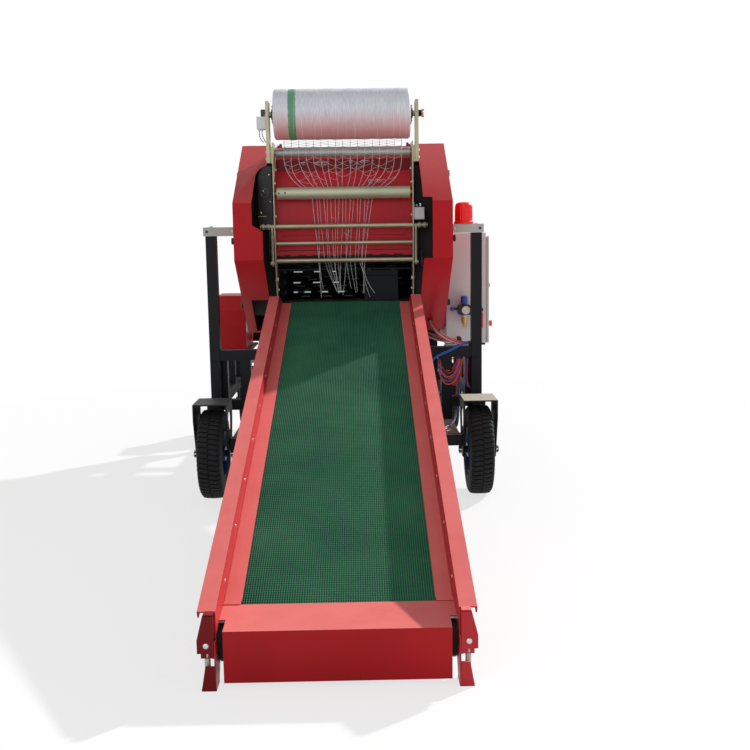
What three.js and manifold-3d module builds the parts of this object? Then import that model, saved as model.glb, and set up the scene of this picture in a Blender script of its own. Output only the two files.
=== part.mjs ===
// Small towed round baler with a feed conveyor and net wrapping.
// Millimetres, +X to the machine's right, +Y to its rear, +Z up, floor at Z = 0.
// The conveyor's upper end is at Y = 0 until the last group moves the origin to the box's bottom centre.
import * as THREE from 'three';
import { mergeVertices } from 'three/addons/utils/BufferGeometryUtils.js';
import Module from 'manifold-3d';

const wasm = await Module();
wasm.setup();

// ---- driving dimensions -------------------------------------------------
const GAP = 0.3;            // between pieces that touch
const SHEET = 3;            // covers, panels and conveyor walls

// what stands on what
const TUBE = 40;            // square tube
const WELD = 1;             // what a welded cross tube stands back from the tube it meets
const DECK_TOP = 486;       // the frame that the chamber stands on

// bale chamber
const BALE_R = 275;         // radius inside the rollers
const ROLLER_R = 35;
const ROLLER_RING = BALE_R + ROLLER_R;
const CHAMBER_REACH = ROLLER_RING + ROLLER_R + 5;   // axis to the flat faces of the chamber sides
const CHAMBER_FRONT = 30;
const CHAMBER_Y = CHAMBER_FRONT + CHAMBER_REACH;    // axis of the bale chamber
const CHAMBER_Z = DECK_TOP + 52 + CHAMBER_REACH;
const CHAMBER_TOP = CHAMBER_Z + CHAMBER_REACH;
const CHAMBER_CORNER = 150; // what the octagon's corners lose
const SPLIT_Y = CHAMBER_Y + 20;
const SPLIT_GAP = 6;        // between the fixed half and the tailgate
const SIDE_IN = 261.3;      // inner face of the chamber side plates
const SIDE_T = 5;
const SIDE_OUT = SIDE_IN + SIDE_T;
const ROLLER_HALF = SIDE_IN - 6.3;   // half length of the chamber rollers
const SHAFT_R = 12;
const HINGE = { y: SPLIT_Y, z: CHAMBER_TOP + 28, pin: 8, eye: 14, lug: 4.6 };   // the tailgate swings up about this pin

// side covers
const COVER_IN = SIDE_OUT + 19.7;
const COVER_OUT = COVER_IN + 104;
const COVER_TOP = CHAMBER_TOP + 12;
const COVER_BOTTOM = DECK_TOP + 38;
const COVER_NOSE_Y = CHAMBER_FRONT - 257;
const COVER_NOSE_TOP = CHAMBER_TOP - 219;
const COVER_NOSE_BOTTOM = 818;
const COVER_TOP_Y = CHAMBER_FRONT + 110;
const COVER_BOTTOM_Y = CHAMBER_FRONT + 123;

// net wrapping unit
const PLATE_T = 4;
const PLATE_OUT = SIDE_IN - GAP;
const PLATE_IN = PLATE_OUT - PLATE_T;
const PLATE_FRONT = -40;
const PLATE_TOP = CHAMBER_TOP + 7;
const PLATE_BOTTOM = 656;
const NET_ROLL = { y: -17, z: CHAMBER_TOP + 108, r: 92, half: PLATE_IN - 7, core: 38 };
const SPINDLE_R = 11;
const UPRIGHT = { inner: PLATE_OUT + 8, outer: PLATE_OUT + 20, top: NET_ROLL.z + 47, bottom: CHAMBER_TOP - 68, width: 60 };
const TOP_ROLLER = { y: 45, z: CHAMBER_TOP - 25, r: 17 };
const FEED_TUBE = { y: -10, z: 1060, r: 22.5, half: PLATE_IN - 8 };
const KNIFE_SHAFT = { y: -20, z: 937, r: 9, half: PLATE_OUT + 53 };
const UPPER_BAR = { y: -12, z: 874, r: 7 };
const LOWER_BAR = { y: -6, z: 809, r: 8 };
const PANEL_Y = 22;         // front face of the red front panel
const PANEL_BOTTOM = 826;

// conveyor
const BELT_T = 4;
const DRUM_R = 40;
const BELT_RUN = 1865;      // between the drums' axes
const HEAD = { y: 12.6, z: 607.8 };
const TAIL_Z = 75;          // height of the tail drum's axis
const SLOPE = Math.asin((HEAD.z - TAIL_Z) / BELT_RUN);
const TAIL_Y = HEAD.y - BELT_RUN * Math.cos(SLOPE);
const WALL_IN = SIDE_IN - 18.3;
const WALL_OUT = WALL_IN + SHEET;
const BELT_HALF = WALL_IN - 33;
const SKIRT_IN = BELT_HALF - 5;
const FLANGE_OUT = WALL_IN + 37;
const FLANGE_RISE = 62;     // above the belt
const PIVOT = { r: 15, inner: WALL_OUT + 5.5, outer: WALL_OUT + 12.5 };
const LID_REACH = 22.6;     // how far the tail cover's lid runs up over the belt
const BELT_LINE = TAIL_Z + LID_REACH * Math.tan(SLOPE) + (DRUM_R + BELT_T) / Math.cos(SLOPE);   // the belt's height there
const TAIL_COVER = { front: TAIL_Y - 96.4, back: TAIL_Y + LID_REACH, half: WALL_IN - 14, bottom: TAIL_Z - 62, top: BELT_LINE - 3.65 };

// chassis
const RAIL_X = COVER_OUT + 97;   // centre of the side rails and posts
const RAIL_TOP = 299;
const POST_Y = -100;
const POST_TOP = 904.7;
const LOW_FRAME_X = RAIL_X - 112;
const DECK_X = SIDE_OUT + 8.7;
const ARM = { end: RAIL_X + 25, half: 30, height: 32 };

// wheels
const WHEEL = { r: 155, width: 84, x: RAIL_X - 26, hub: 12.6, rim: 78 };
const AXLE_R = 12;
const LOW_FRAME_TOP = WHEEL.r + 57;   // its underside clears the axle bolts' heads
const FORK = { half: WHEEL.width / 2 + 16, top: 2 * WHEEL.r + 29, length: 144, plate: 5, gap: 12 };
const WHEEL_Y = { front: -390, rear: 772 };
const TOW_END = WHEEL_Y.rear + 188;
const RAIL_FRONT = WHEEL_Y.front + WHEEL.r + FORK.gap;   // the rails run between the wheels
const RAIL_REAR = WHEEL_Y.rear - WHEEL.r - FORK.gap;

// boxes on the sides
const CABINET = { left: COVER_OUT + 6, right: COVER_OUT + 162, front: 130, back: 430, bottom: 471, top: 891, wall: 3, door: 14 };
const MOTOR_GUARD = { left: -COVER_OUT - 155, right: -COVER_OUT - 28, front: RAIL_REAR - 305, back: RAIL_REAR - 45, bottom: 442, top: 660, wall: 3 };

// ---- materials ----------------------------------------------------------
const paint = (color, roughness, metalness) => new THREE.MeshStandardMaterial({ color, roughness, metalness });
const red = paint(0xa5232d, 0.4, 0.1);
const black = paint(0x1c1e22, 0.5, 0.2);
const zinc = paint(0xc8c3a0, 0.35, 0.8);
const steel = paint(0x9a9a98, 0.35, 0.9);
const pale = paint(0xc8c6be, 0.45, 0.1);
const rubber = paint(0x202123, 0.85, 0);
const green = paint(0x1e553e, 0.6, 0);
const net = paint(0xe6e9f0, 0.6, 0);
const beaconRed = paint(0xeb1914, 0.25, 0);
const blue = paint(0x1e50aa, 0.4, 0);
const orange = paint(0xe15032, 0.45, 0);

// ---- shape helpers ------------------------------------------------------
const toSolid = (geometry) => {
  const bare = geometry.clone();
  for (const name of Object.keys(bare.attributes)) {
    if (name !== 'position') bare.deleteAttribute(name);
  }
  const merged = mergeVertices(bare, 1e-4);
  return new wasm.Manifold(new wasm.Mesh({
    numProp: 3,
    vertProperties: new Float32Array(merged.attributes.position.array),
    triVerts: new Uint32Array(merged.index.array),
  }));
};

const toGeometry = (solid) => {
  const mesh = solid.getMesh();
  const geometry = new THREE.BufferGeometry();
  geometry.setAttribute('position', new THREE.BufferAttribute(new Float32Array(mesh.vertProperties), 3));
  geometry.setIndex(new THREE.BufferAttribute(new Uint32Array(mesh.triVerts), 1));
  geometry.computeVertexNormals();
  return geometry;
};

const join = (...solids) => solids.reduce((all, next) => all.add(next));
const cut = (solid, ...tools) => tools.reduce((left, tool) => left.subtract(tool), solid);

// A box between two corners, in any order.
const box = (x0, x1, y0, y1, z0, z1) => {
  const geometry = new THREE.BoxGeometry(Math.abs(x1 - x0), Math.abs(y1 - y0), Math.abs(z1 - z0));
  geometry.translate((x0 + x1) / 2, (y0 + y1) / 2, (z0 + z1) / 2);
  return toSolid(geometry);
};

// A cylinder along an axis: centre gives the two other coordinates in X, Y, Z order.
const rod = (axis, radius, from, to, centre, sides = 20) => {
  const geometry = new THREE.CylinderGeometry(radius, radius, Math.abs(to - from), sides);
  const middle = (from + to) / 2;
  if (axis === 'x') {
    geometry.rotateZ(Math.PI / 2);
    geometry.translate(middle, centre[0], centre[1]);
  } else if (axis === 'y') {
    geometry.translate(centre[0], middle, centre[1]);
  } else {
    geometry.rotateX(Math.PI / 2);
    geometry.translate(centre[0], centre[1], middle);
  }
  return toSolid(geometry);
};

const shapeOf = (points) => new THREE.Shape(points.map(([u, v]) => new THREE.Vector2(u, v)));

// A side outline in (y, z), extruded along X.
const slab = (outline, x0, x1) => {
  const shape = outline instanceof THREE.Shape ? outline : shapeOf(outline);
  const geometry = new THREE.ExtrudeGeometry(shape, { depth: Math.abs(x1 - x0), bevelEnabled: false, curveSegments: 14 });
  geometry.applyMatrix4(new THREE.Matrix4().makeBasis(
    new THREE.Vector3(0, 1, 0), new THREE.Vector3(0, 0, 1), new THREE.Vector3(1, 0, 0)));
  geometry.translate(Math.min(x0, x1), 0, 0);
  return toSolid(geometry);
};

// A front outline in (x, z), extruded along Y.
const plateXZ = (outline, y0, y1) => {
  const shape = outline instanceof THREE.Shape ? outline : shapeOf(outline);
  const geometry = new THREE.ExtrudeGeometry(shape, { depth: Math.abs(y1 - y0), bevelEnabled: false, curveSegments: 16 });
  geometry.applyMatrix4(new THREE.Matrix4().makeBasis(
    new THREE.Vector3(1, 0, 0), new THREE.Vector3(0, 0, 1), new THREE.Vector3(0, -1, 0)));
  geometry.translate(0, Math.max(y0, y1), 0);
  return toSolid(geometry);
};

// A bent sheet: a polyline in (y, z), given thickness to its left, extruded along X.
const bentSheet = (line, thickness, x0, x1) => {
  const normals = line.slice(1).map(([y, z], i) => {
    const dy = y - line[i][0];
    const dz = z - line[i][1];
    const length = Math.hypot(dy, dz);
    return [-dz / length, dy / length];
  });
  const offset = line.map(([y, z], i) => {
    const a = normals[Math.max(i - 1, 0)];
    const b = normals[Math.min(i, normals.length - 1)];
    const scale = thickness / (1 + a[0] * b[0] + a[1] * b[1]);
    return [y + (a[0] + b[0]) * scale, z + (a[1] + b[1]) * scale];
  });
  return slab([...line, ...offset.reverse()], x0, x1);
};

// An ordered range of X for one side of the machine.
const span = (side, inner, outer) => (side > 0 ? [inner, outer] : [-outer, -inner]);
const sideName = (side) => (side > 0 ? 'right' : 'left');
const SIDES = [-1, 1];

const machine = new THREE.Group();
const add = (name, solid, material, parent = machine) => {
  const mesh = new THREE.Mesh(toGeometry(solid), material);
  mesh.name = name;
  parent.add(mesh);
};

// ---- chassis ------------------------------------------------------------
function lowerFrame() {
  const low = LOW_FRAME_TOP - TUBE;
  const half = TUBE / 2;
  const cross = (y) => box(-LOW_FRAME_X, LOW_FRAME_X, y - half, y + half, low + WELD, LOW_FRAME_TOP - WELD);
  const along = SIDES.map((side) => {
    const [x0, x1] = span(side, LOW_FRAME_X - half, LOW_FRAME_X + half);
    return box(x0, x1, WHEEL_Y.front, WHEEL_Y.rear, low, LOW_FRAME_TOP);
  });
  const axles = Object.values(WHEEL_Y).map((y) => {
    const reach = WHEEL.x - FORK.half - GAP;
    return box(-reach, reach, y - half, y + half, low + WELD, LOW_FRAME_TOP - WELD);
  });
  const eye = [0, TOW_END - 30];
  const towBar = cut(
    join(box(-half, half, WHEEL_Y.rear, eye[1] - 15, low + 2 * WELD, LOW_FRAME_TOP - 2 * WELD), rod('z', 30, low + 11, LOW_FRAME_TOP - 11, eye)),
    rod('z', 14, low - 1, LOW_FRAME_TOP + 1, eye));
  return join(...along, ...axles, cross(POST_Y), cross(CHAMBER_Y), cross(RAIL_REAR - half), towBar);
}

function deck() {
  const low = DECK_TOP - TUBE;
  const half = TUBE / 2;
  const reach = RAIL_X - half - GAP;
  const cross = (y) => box(-reach, reach, y - half, y + half, low + WELD, DECK_TOP - WELD);
  const along = SIDES.map((side) => {
    const [x0, x1] = span(side, DECK_X - half, DECK_X + half);
    return box(x0, x1, POST_Y, RAIL_REAR - half, low, DECK_TOP);
  });
  const ears = SIDES.map((side) => {
    const [x0, x1] = span(side, PIVOT.inner, PIVOT.outer);
    const hole = rod('x', PIVOT.r + GAP, x0 - 1, x1 + 1, [HEAD.y, HEAD.z]);
    return cut(box(x0, x1, HEAD.y - 40, HEAD.y + 40, low + WELD, HEAD.z + 38), hole);
  });
  const legs = SIDES.map((side) => {
    const [x0, x1] = span(side, LOW_FRAME_X - half, LOW_FRAME_X + half);
    return join(
      box(x0, x1, POST_Y - half + WELD, POST_Y + half - WELD, LOW_FRAME_TOP + GAP, DECK_TOP - half),
      box(x0, x1, RAIL_REAR - TUBE + WELD, RAIL_REAR - WELD, LOW_FRAME_TOP + GAP, DECK_TOP - half),
    );
  });
  return join(cross(POST_Y), cross(RAIL_REAR - half), ...along, ...ears, ...legs);
}

// Side rail with its post, the rear leg and a shelf for the box that stands on this side.
function sideFrame(side, shelf) {
  const half = TUBE / 2;
  const inset = half - WELD;
  const [x0, x1] = span(side, RAIL_X - half, RAIL_X + half);
  const [w0, w1] = span(side, RAIL_X - inset, RAIL_X + inset);
  const low = RAIL_TOP - TUBE;
  const rail = box(x0, x1, RAIL_FRONT, RAIL_REAR, low, RAIL_TOP);
  const post = box(w0, w1, POST_Y - half, POST_Y + half, low + half, POST_TOP);
  const rearLeg = box(w0, w1, RAIL_REAR - TUBE, RAIL_REAR - WELD, low + half, DECK_TOP);
  const [n0, n1] = span(side, RAIL_X - half - 20, RAIL_X - half + 2);
  const stiffener = box(n0, n1, POST_Y + half - 2, POST_Y + half + 30, low + 2, DECK_TOP - TUBE - GAP);
  const [t0, t1] = span(side, LOW_FRAME_X + half + GAP, RAIL_X);
  const ties = [POST_Y, RAIL_REAR - half].map((y) => box(t0, t1, y - inset, y + inset, low + WELD, RAIL_TOP - WELD));
  const shelfPlate = box(shelf.left, shelf.right, shelf.front, shelf.back, shelf.top - 8, shelf.top);
  const shelfLegs = [shelf.front + 30, shelf.back - 30].map((y) => (
    box(w0 + WELD, w1 - WELD, y - 15, y + 15, low + half, shelf.top - 4)));
  return join(rail, post, rearLeg, stiffener, ...ties, shelfPlate, ...shelfLegs);
}

// Wheel fork: a box top and two tapering legs, with the axle bolt and its two heads.
function wheelFork(side, y) {
  const centre = side * WHEEL.x;
  const half = FORK.length / 2;
  const top = box(centre - FORK.half, centre + FORK.half, y - half, y + half, FORK.top - 24, FORK.top);
  const inside = box(
    centre - FORK.half + FORK.plate, centre + FORK.half - FORK.plate, y - half - 1, y + half + 1, FORK.top - 30, FORK.top - FORK.plate);
  const leg = (x0, x1) => slab([
    [y - half, FORK.top - 1], [y - half, FORK.top - 60], [y - 24, WHEEL.r - 22],
    [y + 24, WHEEL.r - 22], [y + half, FORK.top - 60], [y + half, FORK.top - 1]], x0, x1);
  const window = slab([
    [y - 34, FORK.top - 104], [y + 34, FORK.top - 104], [y + 40, FORK.top - 62],
    [y + 26, FORK.top - 36], [y - 26, FORK.top - 36], [y - 40, FORK.top - 62]],
    centre - side * FORK.half - 6, centre - side * FORK.half + 6);
  const outerLeg = leg(...span(side, WHEEL.x + FORK.half - FORK.plate, WHEEL.x + FORK.half));
  const innerLeg = cut(leg(...span(side, WHEEL.x - FORK.half, WHEEL.x - FORK.half + FORK.plate)), window);
  const axle = rod('x', AXLE_R, centre - FORK.half - 1, centre + FORK.half + 1, [y, WHEEL.r]);
  const heads = [-1, 1].map((end) => {
    const from = centre + end * FORK.half;
    return rod('x', 14, Math.min(from, from + end * 11), Math.max(from, from + end * 11), [y, WHEEL.r], 6);
  });
  return join(cut(top, inside), outerLeg, innerLeg, axle, ...heads);
}

// Tyre and rim as one body of revolution about X, with the hub's bore.
function wheel(side, y) {
  const half = WHEEL.width / 2;
  const bore = WHEEL.hub;
  const points = [
    [bore, -half + 2], [30, -half + 2], [34, -half + 22], [WHEEL.rim - 6, -half + 22], [WHEEL.rim, -half + 8],
    [WHEEL.rim + 24, -half], [WHEEL.r - 18, -half + 3], [WHEEL.r - 3, -half + 15], [WHEEL.r, 0],
    [WHEEL.r - 3, half - 15], [WHEEL.r - 18, half - 3], [WHEEL.rim + 24, half],
    [WHEEL.rim, half - 8], [WHEEL.rim - 6, half - 22], [34, half - 22], [30, half - 2], [bore, half - 2], [bore, -half + 2],
  ].map(([r, x]) => new THREE.Vector2(r, x));
  const geometry = new THREE.LatheGeometry(points, 24);
  geometry.rotateZ(-Math.PI / 2);
  geometry.translate(side * WHEEL.x, y, WHEEL.r);
  return toSolid(geometry);
}

add('lower_frame', lowerFrame(), black);
add('deck_frame', deck(), black);
add('side_frame_left', sideFrame(-1, {
  left: MOTOR_GUARD.left - 5, right: MOTOR_GUARD.right + 20,
  front: MOTOR_GUARD.front - 10, back: MOTOR_GUARD.back + 10, top: MOTOR_GUARD.bottom - GAP,
}), black);
add('side_frame_right', sideFrame(1, {
  left: CABINET.left, right: CABINET.right,
  front: CABINET.front + 5, back: CABINET.back - 5, top: CABINET.bottom - GAP,
}), black);
for (const side of SIDES) {
  const [x0, x1] = span(side, COVER_OUT + GAP, ARM.end);
  const arm = box(x0, x1, POST_Y - ARM.half, POST_Y + ARM.half, POST_TOP + GAP, POST_TOP + GAP + ARM.height);
  const [h0, h1] = span(side, COVER_OUT + GAP + SHEET, ARM.end - SHEET);
  const hollow = box(h0, h1, POST_Y - ARM.half + SHEET, POST_Y + ARM.half + 10, POST_TOP + SHEET, POST_TOP + ARM.height - SHEET);
  add(`arm_${sideName(side)}`, cut(arm, hollow), pale);
  for (const [place, y] of Object.entries(WHEEL_Y)) {
    add(`fork_${place}_${sideName(side)}`, wheelFork(side, y), black);
    add(`wheel_${place}_${sideName(side)}`, wheel(side, y), rubber);
  }
}

// ---- bale chamber -------------------------------------------------------
const ringPoint = (degrees) => {
  const angle = THREE.MathUtils.degToRad(degrees);
  return [CHAMBER_Y - ROLLER_RING * Math.cos(angle), CHAMBER_Z + ROLLER_RING * Math.sin(angle)];
};
const UPPER_FEED = ringPoint(-12);
const LOWER_FEED = ringPoint(-62);
const FRONT_RING = [14, 38, 62, 84];           // degrees above the front
const REAR_RING = [100, 124, 148, 172, 196, 220, 244];
const LOW_RING = [-86];

function chamberSide(side) {
  const reach = CHAMBER_REACH;
  const front = CHAMBER_Y - reach;
  const outline = [
    [SPLIT_Y - SPLIT_GAP / 2, CHAMBER_TOP], [front + CHAMBER_CORNER, CHAMBER_TOP],
    [front, CHAMBER_Z + reach - CHAMBER_CORNER], [front, CHAMBER_Z - reach + CHAMBER_CORNER],
    [front + CHAMBER_CORNER, CHAMBER_Z - reach], [front + CHAMBER_CORNER, DECK_TOP + GAP],
    [SPLIT_Y - SPLIT_GAP / 2, DECK_TOP + GAP],
  ];
  const [x0, x1] = span(side, SIDE_IN, SIDE_OUT);
  const neck = slab([
    [HINGE.y - 70, CHAMBER_TOP - 5], [HINGE.y - 4, CHAMBER_TOP - 5], [HINGE.y - 4, HINGE.z - 2], [HINGE.y, HINGE.z + HINGE.eye - 1], [HINGE.y - 8, HINGE.z + HINGE.eye - 4]],
    x0, x1);
  const eye = rod('x', HINGE.eye, x0, x1, [HINGE.y, HINGE.z]);
  const holes = [UPPER_FEED, LOWER_FEED].map((at) => rod('x', SHAFT_R + GAP, x0 - 1, x1 + 1, at));
  const pinHole = rod('x', HINGE.pin + GAP, x0 - 1, x1 + 1, [HINGE.y, HINGE.z]);
  return cut(join(slab(outline, x0, x1), neck, eye), ...holes, pinHole);
}

// A driven roller with its shaft carried in both chamber sides.
function feedRoller(at) {
  return join(rod('x', ROLLER_R, -ROLLER_HALF, ROLLER_HALF, at), rod('x', SHAFT_R, -SIDE_OUT - 6, SIDE_OUT + 6, at, 24));
}

// Rollers held between two end rings: an arc of the ring, SIDE_T thick.
function rollerCage(degrees, from, to) {
  const ring = new THREE.Shape();
  const arc = (radius, a, b, clockwise) => ring.absarc(CHAMBER_Y, CHAMBER_Z, radius, a, b, clockwise);
  const start = Math.PI - THREE.MathUtils.degToRad(from);
  const end = Math.PI - THREE.MathUtils.degToRad(to);
  arc(ROLLER_RING + 14, start, end, true);
  arc(ROLLER_RING - 14, end, start, false);
  ring.closePath();
  const rings = SIDES.map((side) => slab(ring, ...span(side, ROLLER_HALF - 0.5, SIDE_IN - GAP)));
  const rollers = degrees.map((angle) => rod('x', ROLLER_R - 1, -ROLLER_HALF + 0.5, ROLLER_HALF - 0.5, ringPoint(angle), 14));
  return join(...rings, ...rollers, ...degrees.map((angle) => rod('x', SHAFT_R, -ROLLER_HALF - 1, ROLLER_HALF + 1, ringPoint(angle), 8)));
}

const PANEL_HALF = PLATE_IN - GAP;
function frontPanel() {
  const face = [
    [PANEL_Y + SHEET, PANEL_BOTTOM], [PANEL_Y + SHEET, CHAMBER_TOP - 155], [75, CHAMBER_TOP - 92], [75, CHAMBER_TOP - 48], [CHAMBER_FRONT + 100, CHAMBER_TOP],
    [SPLIT_Y - SPLIT_GAP / 2, CHAMBER_TOP]];
  return bentSheet(face, SHEET, -PANEL_HALF, PANEL_HALF);
}

function belly() {
  const bottom = CHAMBER_Z - CHAMBER_REACH;
  const clear = LOWER_FEED[0] - ROLLER_R - 7.5;
  const line = [[64, 636], [clear, 636], [clear, LOWER_FEED[1] - 42], [LOWER_FEED[0] - 4.5, bottom], [SPLIT_Y - SPLIT_GAP / 2, bottom]];
  return bentSheet(line, -SHEET, -SIDE_IN + GAP, SIDE_IN - GAP);
}

// Octagonal cover over the chain drive: a shell open towards the chamber.
const coverOutline = (inset) => {
  const slopeUp = Math.hypot(COVER_TOP_Y - COVER_NOSE_Y, COVER_TOP - COVER_NOSE_TOP);
  const slopeDown = Math.hypot(COVER_BOTTOM_Y - COVER_NOSE_Y, COVER_NOSE_BOTTOM - COVER_BOTTOM);
  const upTan = (slopeUp - (COVER_TOP_Y - COVER_NOSE_Y)) / (COVER_TOP - COVER_NOSE_TOP);
  const upNose = (slopeUp - (COVER_TOP - COVER_NOSE_TOP)) / (COVER_TOP_Y - COVER_NOSE_Y);
  const downTan = (slopeDown - (COVER_BOTTOM_Y - COVER_NOSE_Y)) / (COVER_NOSE_BOTTOM - COVER_BOTTOM);
  const downNose = (slopeDown - (COVER_NOSE_BOTTOM - COVER_BOTTOM)) / (COVER_BOTTOM_Y - COVER_NOSE_Y);
  return [
    [SPLIT_Y - SPLIT_GAP / 2 - inset, COVER_TOP - inset], [COVER_TOP_Y + inset * upTan, COVER_TOP - inset],
    [COVER_NOSE_Y + inset, COVER_NOSE_TOP - inset * upNose], [COVER_NOSE_Y + inset, COVER_NOSE_BOTTOM + inset * downNose],
    [COVER_BOTTOM_Y + inset * downTan, COVER_BOTTOM + inset], [SPLIT_Y - SPLIT_GAP / 2 - inset, COVER_BOTTOM + inset],
  ];
};

function sideCover(side) {
  const shell = cut(
    slab(coverOutline(0), ...span(side, COVER_IN, COVER_OUT)),
    slab(coverOutline(SHEET), ...span(side, COVER_IN - 1, COVER_OUT - SHEET)),
  );
  // returns that bolt to the chamber side, above and below it
  const flange = (z0, z1) => box(...span(side, SIDE_OUT + GAP, COVER_IN + 1), CHAMBER_Y - 160, SPLIT_Y - SPLIT_GAP / 2, z0, z1);
  const feet = [flange(COVER_TOP - SHEET, COVER_TOP), flange(COVER_BOTTOM, COVER_BOTTOM + SHEET)];
  const lips = [[COVER_TOP - 30, COVER_TOP - 1], [COVER_BOTTOM + 1, COVER_BOTTOM + 30]].map(([z0, z1]) => (
    box(...span(side, SIDE_OUT + GAP, SIDE_OUT + GAP + SHEET), CHAMBER_Y - 160, SPLIT_Y - SPLIT_GAP / 2, z0, z1)));
  return join(shell, ...feet, ...lips);
}

// Opening in the left cover's front for the rounded chain guard, and the notch at its lower end.
const GUARD = { inner: SIDE_OUT + 1.7, outer: COVER_IN + 36, top: CHAMBER_TOP - 75, bottom: COVER_NOSE_TOP - 91, foot: 822, chamfer: 36, bend: 46, depth: 60 };
function guardShape(grow, inner, foot) {
  const shape = new THREE.Shape();
  const r = GUARD.bend + grow;
  const outer = -GUARD.outer - grow;
  shape.moveTo(inner, GUARD.top + grow);
  shape.lineTo(outer + r, GUARD.top + grow);
  shape.absarc(outer + r, GUARD.top + grow - r, r, Math.PI / 2, Math.PI, false);
  shape.lineTo(outer, GUARD.bottom + 14 - grow);
  for (const [x, z] of foot) shape.lineTo(x, z);
  shape.closePath();
  return shape;
}
function leftCover() {
  const inner = -COVER_IN + 10;
  const opening = plateXZ(guardShape(1, inner, [[inner, GUARD.bottom - GUARD.chamfer * 0.4 - 1]]), COVER_NOSE_Y - 1, COVER_TOP_Y - 5);
  const notch = box(-COVER_OUT + 35, -COVER_IN + 1, COVER_NOSE_Y, COVER_BOTTOM_Y - 8, COVER_BOTTOM + SHEET + 1, 664);
  return cut(sideCover(-1), opening, notch);
}
function rightCover() {
  return cut(sideCover(1), box(COVER_IN - 1, COVER_IN + 32, COVER_NOSE_Y - 1, COVER_NOSE_Y + 60, COVER_NOSE_BOTTOM - 1, COVER_NOSE_TOP + 14));
}

function chainGuard() {
  const turn = -GUARD.outer + GUARD.chamfer;
  const shape = guardShape(0, -GUARD.inner, [[turn, GUARD.bottom - 6], [turn, GUARD.foot], [-GUARD.inner, GUARD.foot]]);
  return join(
    plateXZ(shape, 0, GUARD.depth),
    box(-GUARD.inner - 1, -SIDE_OUT - GAP, CHAMBER_FRONT + 2, GUARD.depth, GUARD.foot + 18, 1080));
}

// Rear half of the chamber with its covers: a shell that is open to the front.
function tailgate() {
  const front = SPLIT_Y + SPLIT_GAP / 2;
  const rear = (inset) => {
    const reach = CHAMBER_REACH - inset;
    const corner = CHAMBER_CORNER - inset * 0.59;
    return [
      [front - (inset ? 1 : 0), CHAMBER_Z - reach], [CHAMBER_Y + reach - corner, CHAMBER_Z - reach],
      [CHAMBER_Y + reach, CHAMBER_Z - reach + corner], [CHAMBER_Y + reach, CHAMBER_Z + reach - corner],
      [CHAMBER_Y + reach - corner, CHAMBER_Z + reach], [front - (inset ? 1 : 0), CHAMBER_Z + reach],
    ];
  };
  const shell = cut(slab(rear(0), -SIDE_OUT, SIDE_OUT), slab(rear(SHEET), -SIDE_IN, SIDE_IN));
  const covers = SIDES.map((side) => cut(
    slab(rear(0), ...span(side, SIDE_OUT - 1, COVER_OUT)),
    slab(rear(SHEET), ...span(side, SIDE_OUT, COVER_OUT - SHEET)),
  ));
  const hinges = SIDES.map((side) => {
    const [x0, x1] = span(side, SIDE_IN - GAP - HINGE.lug, SIDE_IN - GAP);
    const lug = slab([
      [front + 1, CHAMBER_TOP - 1], [front + 40, CHAMBER_TOP - 1], [HINGE.y + 12, HINGE.z + 7], [HINGE.y - 8, HINGE.z + 11], [HINGE.y - 8, HINGE.z - 10]],
      x0, x1);
    return join(
      lug, rod('x', HINGE.eye, x0, x1, [HINGE.y, HINGE.z]),
      rod('x', HINGE.pin, ...span(side, SIDE_IN - GAP - 1, SIDE_OUT + 8), [HINGE.y, HINGE.z]));
  });
  return join(shell, ...covers, ...hinges);
}

for (const side of SIDES) add(`chamber_side_${sideName(side)}`, chamberSide(side), black);
add('front_panel', frontPanel(), red);
add('chamber_belly', belly(), black);
add('lower_rollers', rollerCage(LOW_RING, -96, -76), steel);
add('upper_rollers', rollerCage(FRONT_RING, 6, 92), steel);
add('feed_roller_upper', feedRoller(UPPER_FEED), steel);
add('feed_roller_lower', feedRoller(LOWER_FEED), steel);
add('cover_left', leftCover(), red);
add('cover_right', rightCover(), red);
add('chain_guard', chainGuard(), black);
add('tailgate', tailgate(), red);
add('tailgate_rollers', rollerCage(REAR_RING, 94, 250), steel);

// ---- net wrapping unit --------------------------------------------------
const netPlate = (side) => {
  const outline = [
    [PLATE_FRONT, PLATE_TOP], [TOP_ROLLER.y + 30, PLATE_TOP], [TOP_ROLLER.y + 30, CHAMBER_TOP - 128], [50, CHAMBER_TOP - 158],
    [50, PLATE_BOTTOM + 30], [36, PLATE_BOTTOM], [8, PLATE_BOTTOM], [-28, 780], [PLATE_FRONT, 900],
  ];
  return slab(outline, ...span(side, PLATE_IN, PLATE_OUT));
};

// Side strip that carries the net roll's spindle in an open notch.
function upright(side) {
  const back = NET_ROLL.y + UPRIGHT.width / 2;
  const front = NET_ROLL.y - UPRIGHT.width / 2;
  const [x0, x1] = span(side, UPRIGHT.inner, UPRIGHT.outer);
  const strip = box(x0, x1, front, back, UPRIGHT.bottom, UPRIGHT.top);
  const foot = box(...span(side, PLATE_OUT - 1, UPRIGHT.outer - 1), front + 12, back - 8, UPRIGHT.bottom, UPRIGHT.bottom + 60);
  const notch = SPINDLE_R + GAP;
  const seat = rod('x', notch, x0 - 1, x1 + 1, [NET_ROLL.y, NET_ROLL.z]);
  const mouth = slab([
    [NET_ROLL.y - notch, NET_ROLL.z], [NET_ROLL.y + notch, NET_ROLL.z],
    [NET_ROLL.y + notch + 8, UPRIGHT.top + 1], [NET_ROLL.y - notch - 8, UPRIGHT.top + 1]], x0 - 1, x1 + 1);
  return join(cut(strip, seat, mouth), foot);
}

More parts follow.
